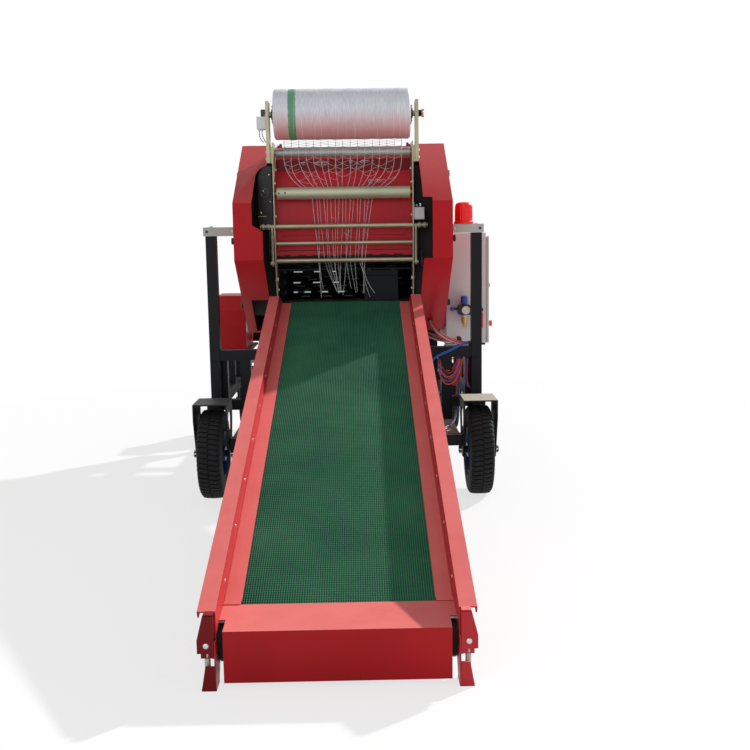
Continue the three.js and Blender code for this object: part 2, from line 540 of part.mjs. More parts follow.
function netFrame() {
  const plates = SIDES.map((side) => join(netPlate(side), upright(side)));
  const bars = [UPPER_BAR, LOWER_BAR].map((bar) => rod('x', bar.r, -PLATE_IN - 1, PLATE_IN + 1, [bar.y, bar.z], 20));
  const holes = [[TOP_ROLLER, 6], [FEED_TUBE, 6], [KNIFE_SHAFT, KNIFE_SHAFT.r]].map(([at, r]) => (
    rod('x', r + GAP, -UPRIGHT.outer, UPRIGHT.outer, [at.y, at.z], 24)));
  return cut(join(...plates, ...bars), ...holes);
}

// A roller between the net plates, with thin shaft ends in their holes.
const plateRoller = (at, half) => join(
  rod('x', at.r, -half, half, [at.y, at.z], 24), rod('x', 6, -PLATE_OUT, PLATE_OUT, [at.y, at.z], 20));

function netKnife() {
  const shaft = rod('x', KNIFE_SHAFT.r, -KNIFE_SHAFT.half, KNIFE_SHAFT.half, [KNIFE_SHAFT.y, KNIFE_SHAFT.z], 24);
  const links = SIDES.map((side) => {
    const [x0, x1] = span(side, PLATE_OUT + 4, PLATE_OUT + 12);
    const strap = box(x0, x1, KNIFE_SHAFT.y - 10, KNIFE_SHAFT.y + 10, 800, KNIFE_SHAFT.z);
    return join(strap, rod('x', 12, x0, x1, [KNIFE_SHAFT.y, 800], 20));
  });
  return join(shaft, ...links);
}

function netRoll() {
  const { r, half, core } = NET_ROLL;
  const points = [[core, -half], [r - 7, -half], [r, -half + 8], [r, half - 8], [r - 7, half], [core, half], [core, -half]];
  const geometry = new THREE.LatheGeometry(points.map(([radius, x]) => new THREE.Vector2(radius, x)), 32);
  geometry.rotateZ(-Math.PI / 2);
  geometry.translate(0, NET_ROLL.y, NET_ROLL.z);
  return toSolid(geometry);
}

function spindle() {
  const at = [NET_ROLL.y, NET_ROLL.z];
  const { half, core } = NET_ROLL;
  const plugs = SIDES.map((side) => join(
    rod('x', core - GAP, ...span(side, half - 24, half + 2), at, 20),
    rod('x', core + 5, ...span(side, half + GAP, half + 6), at, 20)));
  const bar = rod('x', SPINDLE_R - 0.2, -UPRIGHT.outer + 1, UPRIGHT.outer + 6, at, 24);
  const wing = join(
    rod('x', 7, UPRIGHT.outer + 5, UPRIGHT.outer + 19, at, 16),
    box(UPRIGHT.outer + 7, UPRIGHT.outer + 22, at[0] - 4, at[0] + 4, at[1] - 16, at[1] + 16));
  return join(bar, ...plugs, wing);
}

// The net from the roll over the top roller and down the front, gathered below the feed tube.
function netSheet() {
  const sheet = 1.2;
  const drop = FEED_TUBE.y + FEED_TUBE.r + GAP;
  const wrap = [-10, 10, 30, 50, 70, 90].map((degrees) => {
    const angle = THREE.MathUtils.degToRad(degrees);
    const radius = (TOP_ROLLER.r + GAP + sheet) / Math.cos(THREE.MathUtils.degToRad(10));
    return [TOP_ROLLER.y - radius * Math.sin(angle), TOP_ROLLER.z + radius * Math.cos(angle)];
  });
  const leave = THREE.MathUtils.degToRad(43.6);   // where the net leaves the roll, below its rear
  const off = NET_ROLL.r + 2 * GAP;
  const wide = [[NET_ROLL.y + off * Math.sin(Math.PI / 2 - leave), NET_ROLL.z - off * Math.cos(Math.PI / 2 - leave)], ...wrap, [wrap[5][0], CHAMBER_TOP - 88], [drop, CHAMBER_TOP - 153], [drop, 1000]];
  const narrow = [[drop, 1010], [drop, 668]];
  const half = NET_ROLL.half - 2;
  return join(bentSheet(wide, sheet, -half, half), bentSheet(narrow, sheet, -110, 110));
}

function netBrake() {
  const inner = -UPRIGHT.outer - GAP;
  const low = NET_ROLL.z - 54;
  return join(box(inner - 34.7, inner, -40, 5, low, low + 47), box(inner - 17.7, inner, -34, 0, low + 46, low + 74));
}

add('net_frame', netFrame(), zinc);
add('top_net_roller', plateRoller(TOP_ROLLER, PLATE_IN - 2.5), zinc);
add('net_feed_tube', plateRoller(FEED_TUBE, FEED_TUBE.half), zinc);
add('net_knife', netKnife(), zinc);
add('net_roll', netRoll(), net);
add('roll_spindle', spindle(), black);
add('net_sheet', netSheet(), net);
add('net_brake', netBrake(), pale);
add('sensor_box', join(
  box(PLATE_OUT + GAP, PLATE_OUT + 41, -36, 14, 956, 1008), box(PLATE_OUT + GAP, PLATE_OUT + 7, -38, 20, 960, 1020)), pale);

// ---- conveyor: local Y runs up the slope from the head drum's axis, local Z is square to the belt
const conveyor = new THREE.Group();
conveyor.position.set(0, HEAD.y, HEAD.z);
conveyor.rotation.x = SLOPE;
machine.add(conveyor);
const BELT_TOP = DRUM_R + BELT_T;
const FLANGE_TOP = BELT_TOP + FLANGE_RISE;
const WALL_LOW = -50;
const TAIL_END = -BELT_RUN - 59;

function conveyorFrame() {
  const wallOutline = [
    [28, WALL_LOW], [28, 40], [-95, FLANGE_TOP], [TAIL_END, FLANGE_TOP], [TAIL_END - 34, -8], [TAIL_END + 25, -26], [TAIL_END + 74, WALL_LOW]];
  const sides = SIDES.map((side) => join(
    slab(wallOutline, ...span(side, WALL_IN, WALL_OUT)),
    box(...span(side, WALL_IN, FLANGE_OUT), TAIL_END, -95, FLANGE_TOP - SHEET, FLANGE_TOP),
    box(...span(side, FLANGE_OUT - SHEET, FLANGE_OUT), TAIL_END, -95, FLANGE_TOP - 14, FLANGE_TOP),
    box(...span(side, SKIRT_IN, WALL_IN + 1), -BELT_RUN + 49, -12, BELT_TOP + 0.6, BELT_TOP + 0.6 + SHEET),
    rod('x', PIVOT.r, ...span(side, WALL_OUT - 1, PIVOT.outer - 0.5), [0, 0]),
  ));
  const bed = box(-WALL_IN - 1, WALL_IN + 1, -BELT_RUN + 52, -52, DRUM_R - GAP - SHEET, DRUM_R - GAP);
  const crossTubes = [0.2, 0.5, 0.8].map((share) => (
    box(-WALL_IN - 1, WALL_IN + 1, -BELT_RUN * share - 20, -BELT_RUN * share + 20, -20, DRUM_R - GAP - SHEET + 1)));
  return join(...sides, bed, ...crossTubes);
}

const stadium = (shape, radius) => {
  shape.absarc(0, 0, radius, -Math.PI / 2, Math.PI / 2, false);
  shape.absarc(-BELT_RUN, 0, radius, Math.PI / 2, 1.5 * Math.PI, false);
  shape.closePath();
  return shape;
};
function belt() {
  const outline = stadium(new THREE.Shape(), BELT_TOP);
  outline.holes.push(stadium(new THREE.Path(), DRUM_R));
  return slab(outline, -BELT_HALF, BELT_HALF);
}

const drum = (y) => join(
  rod('x', DRUM_R - GAP, -BELT_HALF - 4, BELT_HALF + 4, [y, 0], 28), rod('x', 10, -WALL_IN + GAP, WALL_IN - GAP, [y, 0], 20));

function tailCover() {
  const { front, back, half, bottom, top } = TAIL_COVER;
  const sheet = 2.5;
  const lid = back - 60;
  const slope = 10 / (back - front);
  const face = bentSheet([[lid, top + 7 - 60 * slope], [front, top - 3], [front, bottom], [front + 81, bottom]], sheet, -half, half);
  const shoulders = bentSheet([[back, top + 7], [lid - 8, top + 7 - 68 * slope]], sheet, -WALL_IN + GAP, WALL_IN - GAP);
  return join(face, shoulders);
}

function conveyorLeg(side) {
  const face = TAIL_COVER.front - 9;
  const at = WALL_OUT + 17;
  return join(
    box(...span(side, WALL_OUT + GAP, FLANGE_OUT), face, face + 4, TAIL_Z + 2, TAIL_Z + 75),
    box(...span(side, WALL_OUT + GAP, WALL_OUT + GAP + 4), face, face + 80, TAIL_Z - 9, TAIL_Z + 75),
    box(...span(side, WALL_OUT + GAP, at + 10), face, face + 22, TAIL_Z - 9, TAIL_Z + 3),
    rod('z', 6, 3, TAIL_Z - 5, [side * at, face + 14], 16),
    plateXZ([[at - 20, 0], [at + 10, 0], [at + 5, 55], [at - 9, 55]].map(([x, z]) => [side * x, z]), face, face + 5),
    box(...span(side, at - 20, at + 10), face, face + 45, 0, 5),
  );
}

add('conveyor_frame', conveyorFrame(), red, conveyor);
add('conveyor_belt', belt(), green, conveyor);
add('head_drum', drum(0), steel, conveyor);
add('tail_drum', drum(-BELT_RUN), steel, conveyor);
add('tail_cover', tailCover(), red);
for (const side of SIDES) add(`conveyor_leg_${sideName(side)}`, conveyorLeg(side), red);

// ---- control cabinet, beacon and air supply -----------------------------
function cabinet() {
  const c = CABINET;
  const inner = box(c.left + c.wall, c.right + 1, c.front + c.wall, c.back - c.wall, c.bottom + c.wall, c.top - c.wall);
  return cut(box(c.left, c.right, c.front, c.back, c.bottom, c.top), inner);
}
function cabinetDoor() {
  const c = CABINET;
  const leaf = box(c.right + GAP, c.right + c.door, c.front, c.back, c.bottom, c.top);
  const knob = rod('x', 13, c.right + c.door - 1, c.right + c.door + 16, [c.front + 34, 546], 24);
  return join(leaf, knob);
}
const BEACON = { x: RAIL_X - 46, r: 33, base: 36, top: POST_TOP + 112.3 };
function beacon() {
  const foot = POST_TOP + ARM.height + 2 * GAP;
  return join(
    rod('z', BEACON.base, foot, foot + 8, [BEACON.x, POST_Y], 24),
    rod('z', BEACON.r, foot + 7, BEACON.top - 6, [BEACON.x, POST_Y], 24),
    rod('z', BEACON.r - 6, BEACON.top - 7, BEACON.top, [BEACON.x, POST_Y], 24));
}
function regulator() {
  const back = CABINET.front - GAP;
  const y = back - 28;
  const x = CABINET.left + 68;
  return join(
    box(x - 26, x + 26, back - 50, back, 587, 625),
    rod('z', 14, 624, 660, [x, y], 24), rod('z', 13, 537, 588, [x, y], 24),
    rod('y', 17, back - 60, back - 49, [x + 4, 606], 28), rod('x', 8, x - 56, x - 25, [y, 610], 20));
}
const VALVES = { left: 372, right: 444, back: -28, bottom: 440, top: 486 };
const CROSS_BACK = POST_Y + TUBE / 2;

function motorGuard() {
  const g = MOTOR_GUARD;
  const outline = (inset, below) => [
    [g.front + inset, g.bottom - below], [g.front + inset, g.top - 59 - inset * 0.4],
    [g.front + 58 + inset * 0.4, g.top - inset], [g.back - inset, g.top - inset], [g.back - inset, g.bottom - below]];
  return cut(slab(outline(0, 0), g.left, g.right), slab(outline(g.wall, 1), g.left + g.wall, g.right - g.wall));
}

add('control_cabinet', cabinet(), pale);
add('cabinet_door', cabinetDoor(), pale);
add('alarm_beacon', beacon(), beaconRed);
add('air_regulator', regulator(), blue);
add('valve_block', box(VALVES.left, VALVES.right, CROSS_BACK + GAP, VALVES.back, VALVES.bottom, VALVES.top), steel);
add('motor_guard', motorGuard(), red);
add('motor_block', box(
  MOTOR_GUARD.left + 14, MOTOR_GUARD.right - 20, MOTOR_GUARD.front + 24, MOTOR_GUARD.back - 40,
  MOTOR_GUARD.bottom, MOTOR_GUARD.top - 60), steel);

// ---- air hoses: each bundle is a tube along its own route ---------------
const HOSES = {
  hose_bundle_upper: {
    radius: 11, color: blue, points: [
      [266.8, 200, 505], [290, 200, 505], [313, 184, 505], [333, 132, 503], [350, 64, 501], [370, 4, 501], [392, -34, 507],
      [413, -53, 510], [426, -55, 503], [428, -55, 494], [428, -55, 486.5]],
  },
  hose_loop: {
    radius: 13, color: orange, points: [
      [428, -46, 439.6], [428, -46, 412], [427, -46, 376], [421, -46, 350], [408, -46, 338], [395, -46, 350], [389, -46, 376],
      [388, -46, 412], [388, -46, 439.6]],
  },
  hose_run_lower: {
    radius: 6, color: orange, points: [
      [420, -71, 439.6], [420, -71, 400], [420, -71, 345], [420, -66, 305], [419, -56, 270], [417, -54, 246], [413, -70, 228],
      [409, -100, 219.6], [402, -150, 218.4], [386, -220, 218.4], [366, -290, 218.4], [336, -352, 218.4], [296, -382, 218.4],
      [240, -389.7, 218.4]],
  },
};
for (const [name, hose] of Object.entries(HOSES)) {
  const curve = new THREE.CatmullRomCurve3(hose.points.map((point) => new THREE.Vector3(...point)), false, 'centripetal');
  const section = new THREE.Shape();
  section.absarc(0, 0, hose.radius, 0, 2 * Math.PI, false);
  const steps = Math.min(60, Math.max(12, Math.round(curve.getLength() / (hose.radius * 4))));
  const geometry = new THREE.ExtrudeGeometry(section, { extrudePath: curve, steps, curveSegments: 5, bevelEnabled: false });
  add(name, toSolid(geometry), hose.color);
}

// ---- origin at the bottom centre of the machine's box --------------------
const RIGHT_END = CABINET.right + CABINET.door + 16;
const LEFT_END = -Math.max(WHEEL.x + FORK.half + 11, -MOTOR_GUARD.left + 5);
const FRONT_END = TAIL_COVER.front - 9;
machine.position.set(-(RIGHT_END + LEFT_END) / 2, -(FRONT_END + TOW_END) / 2, 0);
const model = new THREE.Group();
model.add(machine);

export default model;
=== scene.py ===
# %% [markdown]
# # Dressing a small towed round baler
# The frame is already built to size: every tube, plate, roller and hinge has its place, and stands fixed.
# Here each piece gets the shape that the eye reads close up, and a finish. Lengths are written in millimetres
# and turned into metres in one helper, because the scene is in metres.

# %% Load the frame
import random
from math import asin, cos, pi, radians, sin, sqrt

import bmesh
import bpy
from mathutils import Matrix, Vector


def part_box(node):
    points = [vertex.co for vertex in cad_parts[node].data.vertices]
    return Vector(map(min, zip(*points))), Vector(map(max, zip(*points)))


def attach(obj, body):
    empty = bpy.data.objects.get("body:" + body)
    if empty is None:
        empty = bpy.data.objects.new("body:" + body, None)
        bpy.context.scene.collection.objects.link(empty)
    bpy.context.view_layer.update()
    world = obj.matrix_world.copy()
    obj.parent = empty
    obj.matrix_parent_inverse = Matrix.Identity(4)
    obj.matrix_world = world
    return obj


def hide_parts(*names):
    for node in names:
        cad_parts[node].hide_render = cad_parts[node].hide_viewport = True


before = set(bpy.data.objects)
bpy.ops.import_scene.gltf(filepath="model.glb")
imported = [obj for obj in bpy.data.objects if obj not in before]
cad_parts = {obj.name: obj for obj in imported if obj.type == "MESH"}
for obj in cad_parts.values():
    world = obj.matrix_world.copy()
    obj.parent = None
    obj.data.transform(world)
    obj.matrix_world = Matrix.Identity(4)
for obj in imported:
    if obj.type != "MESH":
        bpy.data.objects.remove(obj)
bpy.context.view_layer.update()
random.seed(5)

# %% [markdown]
# ## Where things are
# A baler is measured from its own centre plane and from the upper end of its conveyor. Those two come from the
# frame's boxes, so every detail below stays with the piece it belongs to.

# %% Places on the machine
roll_low, roll_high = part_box("net_roll")
drum_low, drum_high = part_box("head_drum")
MIDDLE = (roll_low.x + roll_high.x) / 2
HEAD = (drum_low + drum_high) / 2
FRONT = HEAD.y - 0.0126                   # where the net unit and the conveyor meet
BELT_RUN, BELT_RISE = 1865.0, 532.8       # from drum to drum along the slope, and the height gained
TILT = asin(BELT_RISE / BELT_RUN)
SIDES = (-1, 1)                           # left and right of the centre plane
RIGHT, BACK, UP = (Vector(axis) for axis in ((1, 0, 0), (0, 1, 0), (0, 0, 1)))
OUTWARD = [(side, side * RIGHT) for side in SIDES]


def spot(x, y, z):
    """Millimetres right of the centre plane, behind the meeting line and above the floor, as a point in metres."""
    return Vector((MIDDLE + x / 1000, FRONT + y / 1000, z / 1000))


def on_belt(x, along, above):
    """A point given on the conveyor: along from the head drum's axis (down is minus), above it square to the belt."""
    y, z = along / 1000, above / 1000
    return Vector((MIDDLE + x / 1000, HEAD.y + y * cos(TILT) - z * sin(TILT), HEAD.z + y * sin(TILT) + z * cos(TILT)))


print("centre plane at", round(MIDDLE, 4), "head drum at", [round(v, 4) for v in HEAD])

# %% [markdown]
# ## The camera
# It stands in front of the conveyor's foot, a little right of the centre, at chest height, and looks slightly down.
# A short telephoto lens keeps the far end of the machine in proportion to the near end.

# %% Camera
CAMERA_AT = (55.8, -3719.1, 892.4)
YAW, PITCH, ROLL = (radians(angle) for angle in (0.808, 8.042, -0.831))
forward = Vector((sin(YAW) * cos(PITCH), cos(YAW) * cos(PITCH), -sin(PITCH)))
level_right = Vector((cos(YAW), -sin(YAW), 0))
level_up = level_right.cross(forward)
right = cos(ROLL) * level_right + sin(ROLL) * level_up
up = cos(ROLL) * level_up - sin(ROLL) * level_right
camera = bpy.data.objects.new("camera", bpy.data.cameras.new("camera"))
camera.data.sensor_width, camera.data.lens = 36, 46.728
camera.matrix_world = Matrix.Translation(spot(*CAMERA_AT)) @ Matrix((right, up, -forward)).transposed().to_4x4()
bpy.context.scene.collection.objects.link(camera)
bpy.context.scene.camera = camera
print("camera at", [round(v, 3) for v in camera.location], "lens", round(camera.data.lens, 2))

# %% [markdown]
# ## Shader maths
# A finish is a small calculation over the surface: where am I, how rough, what colour. Written as nodes it sprawls,
# so one class wraps a socket and lets Python's own + - * / add the Math nodes, and one method adds any other node.

# %% Wires and finishes


class Wire:
    """One output socket of a finish. Arithmetic on it adds Math nodes."""

    def __init__(self, finish, socket):
        self.finish, self.socket = finish, socket

    def maths(self, operation, *values, clamp=False):
        return self.finish.node("ShaderNodeMath", {"operation": operation, "use_clamp": clamp},
            dict(enumerate(values)))

    def __add__(self, other):
        return self.maths("ADD", self, other)

    def __sub__(self, other):
        return self.maths("SUBTRACT", self, other)

    def __rsub__(self, other):
        return self.maths("SUBTRACT", other, self)

    def __mul__(self, other):
        return self.maths("MULTIPLY", self, other)

    __radd__ = __add__
    __rmul__ = __mul__

    def sine(self):
        return self.maths("SINE", self)

    def size(self):
        return self.maths("ABSOLUTE", self)

    def step(self, low, high):
        """0 below low and 1 above high, with a straight rise between them."""
        return self.finish.node("ShaderNodeMapRange", {"clamp": True}, {0: self, 1: low, 2: high, 3: 0.0, 4: 1.0})


class Finish:
    """A material that is built as a calculation."""

    def __init__(self, name):
        self.material = bpy.data.materials.get(name) or bpy.data.materials.new(name)
        self.material.use_nodes = True
        self.tree = self.material.node_tree
        self.shader = self.tree.nodes["Principled BSDF"]

    def plug(self, socket, value):
        if isinstance(value, Wire):
            self.tree.links.new(value.socket, socket)
        else:
            socket.default_value = value

    def node(self, kind, settings=None, inputs=None, out=0):
        made = self.tree.nodes.new(kind)
        for name, value in (settings or {}).items():
            setattr(made, name, value)
        for name, value in (inputs or {}).items():
            self.plug(made.inputs[name], value)
        return Wire(self, made.outputs[out])

    def place(self):
        """The point on the object at rest, in metres."""
        return self.node("ShaderNodeTexCoord", out="Object")

    def axis(self, vector, name):
        return self.node("ShaderNodeSeparateXYZ", {}, {0: vector}, out=name)

    def noise(self, vector, scale, detail=2.0, rough=0.5):
        return self.node("ShaderNodeTexNoise", {}, {"Vector": vector, "Scale": scale, "Detail": detail,
            "Roughness": rough})

    def stretch(self, vector, x, y, z):
        return self.node("ShaderNodeVectorMath", {"operation": "MULTIPLY"}, {0: vector, 1: (x, y, z)})

    def mix(self, share, a, b):
        return self.node("ShaderNodeMix", {"data_type": "RGBA"}, {0: share, 6: a, 7: b}, out=2)

    def bump(self, height, distance, strength=1.0):
        return self.node("ShaderNodeBump", {}, {"Height": height, "Distance": distance, "Strength": strength})

    def surface(self, **sockets):
        for name, value in sockets.items():
            self.plug(self.shader.inputs[name.replace("_", " ").title().replace("Ior", "IOR")], value)
        return self.material


def srgb(*card):
    """A colour as it reads on a colour card, 0 to 255, made linear."""
    shares = [c / 255 for c in card]
    return tuple(c / 12.92 if c <= 0.04045 else ((c + 0.055) / 1.055) ** 2.4 for c in shares) + (1.0,)


def shade(color, times, lift=0.0):
    """The colour made darker or lighter."""
    return tuple(min(1.0, c * times + lift) for c in color[:3]) + (1.0,)


print("red on the card (165, 35, 45) is", [round(c, 3) for c in srgb(165, 35, 45)], "to the renderer")

# %% [markdown]
# ## Powder coat
# The sheet metal is sprayed with red powder and baked. It flows almost flat: what is left is a faint orange peel,
# a slow drift of tone, and a pale film on faces that look straight up, partly straw dust and partly painted sunlight.
# The film is worked out from the face's own direction, so it sits right on every panel without painting it by hand.

# %% Painted metal


def powder_coat(name, color, dust_and_sun_colour, film=0.8, roughness=0.34, peel=0.00004, drift=0.10):
    finish = Finish(name)
    where = finish.place()
    slow = finish.noise(where, 2.6, 3.0)
    patch = finish.noise(where, 11.0, 4.0, 0.62)
    facing_up = finish.axis(finish.node("ShaderNodeNewGeometry", out="Normal"), "Z")
    # a pale film on faces that look straight up: partly straw dust, partly painted sunlight
    pale_share = facing_up.step(0.90, 0.965) * (0.72 + 0.5 * patch) * film
    tone = finish.mix(slow.step(0.3, 0.7), shade(color, 1 - drift), shade(color, 1 + drift))
    scuff = finish.noise(finish.stretch(where, 1.0, 0.25, 1.0), 60.0, 5.0, 0.7).step(0.70, 0.78)
    return finish.surface(
        base_color=finish.mix(scuff * 0.16, finish.mix(pale_share, tone, dust_and_sun_colour), shade(color, 1.7, 0.03)),
        roughness=roughness + 0.10 * patch + 0.12 * pale_share,
        coat_weight=0.05 - 0.04 * pale_share, coat_roughness=0.2, specular_ior_level=0.16,
        normal=finish.bump(finish.noise(where, 900.0, 1.0), peel, 0.35))


def shaded_inside(material, middle, shade_colour):
    """Paints shade into a shell's inside: a face that looks towards the shell's middle gets the shade colour."""
    finish = Finish(material.name)
    where, facing = finish.place(), finish.node("ShaderNodeTexCoord", out="Normal")
    across, deep, high = ((middle[i] - finish.axis(where, name)) * finish.axis(facing, name) for i,
        name in enumerate("XYZ"))
    inward = across + deep + high
    paint = Wire(finish, finish.shader.inputs["Base Color"].links[0].from_socket)
    finish.plug(finish.shader.inputs["Base Color"], finish.mix(inward.step(0.0, 0.02), paint, shade_colour))
    return material


cover_red = powder_coat("cover red", srgb(184, 16, 28), srgb(196, 62, 66), film=0.5)
# the tailgate's inside is painted near black as shade
tailgate_red = shaded_inside(powder_coat("tailgate red", srgb(184, 16, 28), srgb(196, 62, 66), film=0.5), spot(0, 380, 888),
    srgb(12, 15, 17))
conveyor_red = powder_coat("conveyor red", srgb(180, 42, 48), srgb(236, 122, 118), film=1.0)
nose_red = powder_coat("front panel red", srgb(168, 14, 22), srgb(230, 120, 116), film=1.0, drift=0.16)
panel_red = powder_coat("net panel red", srgb(190, 36, 48), srgb(196, 62, 66), film=0.4)
# a darker red that stands for shade: it goes over the recess behind the roller and on the left foot
painted_shade_red = powder_coat("painted shade red", srgb(114, 2, 12), srgb(150, 30, 36), film=0.3)
frame_black = powder_coat("frame black", srgb(17, 19, 24), srgb(84, 82, 78), film=0.42, roughness=0.4, peel=0.00006)
# a lit copy of frame black: its beige top colour is painted sunlight
sunlit_black = powder_coat("sunlit black", srgb(17, 19, 24), srgb(182, 176, 160), film=1.1, roughness=0.44,
    peel=0.00006)
chamber_black = powder_coat("chamber black", srgb(15, 18, 20), srgb(70, 70, 62), film=0.3, roughness=0.5)
cabinet_grey = powder_coat("cabinet grey", srgb(224, 220, 222), srgb(224, 222, 222), film=0.4, roughness=0.42,
    peel=0.00012, drift=0.03)
arm_grey = powder_coat("arm grey", srgb(188, 190, 186), srgb(214, 214, 208), film=0.6, roughness=0.36, drift=0.05)
rim_blue = powder_coat("rim blue", srgb(20, 66, 128), srgb(60, 96, 140), film=0.3, roughness=0.32)
print("painted finishes:", len(bpy.data.materials))

# %% [markdown]
# ## Plated and bare metal
# The net unit is zinc plated and passivated yellow: the film is so thin that it drifts between straw, green and
# pink. Rollers and shafts are bare drawn steel with fine scratches round them. Bolts are bright zinc.

# %% Plated and bare metal


def plated(name, straw, olive, rose, metal=0.62, roughness=0.34):
    finish = Finish(name)
    where = finish.place()
    film = finish.noise(where, 7.0, 3.0)
    film_b = finish.noise(finish.stretch(where, 1.0, 1.0, 3.0), 13.0, 2.0)
    base = finish.mix(film_b.step(0.52, 0.72) * 0.55, finish.mix(film.step(0.42, 0.66), straw, olive), rose)
    grain = finish.noise(where, 420.0, 2.0)
    return finish.surface(base_color=base, metallic=metal, roughness=roughness + 0.14 * grain,
        normal=finish.bump(grain, 0.00003, 0.4))


def drawn(name, color, metal=0.9, roughness=0.3, turns=(1.0, 0.06, 0.06)):
    finish = Finish(name)
    where = finish.place()
    lines = finish.noise(finish.stretch(where, *turns), 900.0, 2.0)
    stain = finish.noise(where, 26.0, 4.0, 0.6).step(0.5, 0.75)
    return finish.surface(base_color=finish.mix(stain * 0.5, color, shade(color, 0.62)), metallic=metal,
                          roughness=roughness + 0.2 * stain, normal=finish.bump(lines, 0.00002, 0.35))


def solid_colour(name, color, roughness=0.4, metal=0.0, grain=500.0, depth=0.00002, spread=0.12, **more):
    """Moulded plastic, rubber or a small bright part: one colour with a little life in it."""
    finish = Finish(name)
    where = finish.place()
    tone = finish.noise(where, 34.0, 3.0)
    return finish.surface(base_color=finish.mix(tone.step(0.3, 0.7), shade(color, 1 - spread), color), metallic=metal,
                          roughness=roughness + 0.1 * tone,
                          normal=finish.bump(finish.noise(where, grain, 2.0), depth, 0.4), **more)


yellow_zinc = plated("yellow zinc", srgb(172, 164, 138), srgb(150, 150, 124), srgb(162, 134, 114))
pale_zinc = plated("pale zinc", srgb(184, 184, 160), srgb(164, 174, 146), srgb(184, 170, 148), metal=0.4,
    roughness=0.36)
silver_zinc = plated("silver zinc", srgb(176, 174, 168), srgb(158, 158, 152), srgb(180, 172, 162), metal=0.5,
    roughness=0.32)
roller_steel = drawn("roller steel", srgb(150, 150, 148))
worn_black = drawn("worn black roller", srgb(44, 46, 48), metal=0.6, roughness=0.4)
bright_bolt = solid_colour("bright bolts", srgb(206, 208, 210), 0.26, metal=0.85)
brass = solid_colour("brass", srgb(196, 164, 96), 0.3, metal=0.9)
copper = solid_colour("copper wing", srgb(205, 120, 100), 0.34, metal=0.8)
cast_alloy = solid_colour("cast alloy", srgb(170, 172, 172), 0.42, metal=0.7, grain=260.0, depth=0.0001)
black_plastic = solid_colour("black plastic", srgb(22, 23, 26), 0.36)
guard_black = solid_colour("guard black", srgb(10, 11, 13), 0.24, specular_ior_level=0.3)
white_plastic = solid_colour("white plastic", srgb(222, 224, 224), 0.4, spread=0.05)
beacon_red = solid_colour("beacon red", srgb(252, 14, 8), 0.3, spread=0.06)
knob_blue = solid_colour("regulator blue", srgb(26, 72, 168), 0.32, coat_weight=0.2)
knob_orange = solid_colour("switch orange", srgb(232, 78, 48), 0.36, spread=0.06)
seal_rubber = solid_colour("seal rubber", srgb(26, 27, 28), 0.7)
hose_finishes = {
    "blue": solid_colour("hose blue", srgb(36, 98, 204), 0.34, coat_weight=0.1),
    "orange": solid_colour("hose orange", srgb(238, 98, 60), 0.36, coat_weight=0.1),
    "white": solid_colour("hose white", srgb(226, 228, 230), 0.34, coat_weight=0.2, spread=0.05),
    "red": solid_colour("hose red", srgb(196, 36, 40), 0.34, coat_weight=0.2),
}
print("finishes so far:", len(bpy.data.materials))

# %% [markdown]
# ## Belt, tyre and net
# The belt is green PVC with a rough top: ribs across it, which are modelled, broken into small studs, which are
# only a millimetre high and so are left to a bump. The roll is knitted net wound under tension, so its side shows
# fine threads round it and a slow ripple along it. One thread in it is dyed green to show the user the edge.

# %% Belt, tyre and net


def belt_green():
    finish = Finish("belt green")
    where = finish.place()
    studs = (finish.axis(where, "X") * (2 * pi / 0.0052)).sine()
    cloud = finish.noise(where, 4.0, 4.0, 0.6)
    speck = finish.noise(where, 330.0, 2.0).step(0.74, 0.80) * finish.noise(where, 12.0, 2.0).step(0.5, 0.7)
    # painted shade: the gaps between the studs are coloured dark and their tops light
    base = finish.mix(studs.step(-0.5, 0.9) * 0.62, srgb(14, 62, 52), srgb(64, 142, 100))
    base = finish.mix(cloud.step(0.35, 0.75) * 0.34, base, srgb(90, 152, 110))
    return finish.surface(base_color=finish.mix(speck * 0.7, base, srgb(190, 196, 140)), roughness=0.6 + 0.14 * cloud,
        specular_ior_level=0.12,
                          normal=finish.bump(studs, 0.0005, 0.8))


def tyre_rubber():
    finish = Finish("tyre rubber")
    where = finish.place()
    # patches of pale dust on the rubber
    pale_share = finish.noise(where, 22.0, 4.0, 0.6)
    return finish.surface(base_color=finish.mix(pale_share.step(0.4, 0.8) * 0.5, srgb(19, 20, 23), srgb(46, 46, 46)),
        specular_ior_level=0.3,
                          roughness=0.72 + 0.12 * pale_share, normal=finish.bump(finish.noise(where, 500.0, 2.0), 0.0001,
                              0.5))


def wound_net():
    finish = Finish("wound net")
    where = finish.place()
    across = finish.axis(where, "X")
    threads = finish.noise(finish.stretch(where, 1.0, 0.05, 0.05), 760.0, 3.0)
    knots = finish.noise(where, 520.0, 3.0)
    ripple = finish.noise(finish.stretch(where, 1.0, 0.3, 0.3), 24.0, 3.0)
    base = finish.mix(threads.step(0.35, 0.65), srgb(206, 210, 224), srgb(240, 241, 246))
    base = finish.mix(ripple.step(0.45, 0.75) * 0.3, base, srgb(214, 208, 214))
    facing = finish.axis(finish.node("ShaderNodeNewGeometry", out="Normal"), "Z")
    base = finish.mix((0.1 - facing).step(0.0, 0.9) * 0.9, base,
        srgb(216, 140, 136))      # the red covers below shine back into it
    wobble = (finish.noise(where, 60.0, 2.0) - 0.5) * 0.006
    stripe = 1 - ((across - (MIDDLE - 0.181) + wobble).size()).step(0.0125, 0.0145)
    return finish.surface(base_color=finish.mix(stripe * (0.72 + 0.3 * knots), base, srgb(48, 140, 92)),
        roughness=0.5,
                          normal=finish.bump(threads * 0.6 + knots * 0.4, 0.0004, 0.5))


belt_finish, tyre_finish, roll_finish = belt_green(), tyre_rubber(), wound_net()


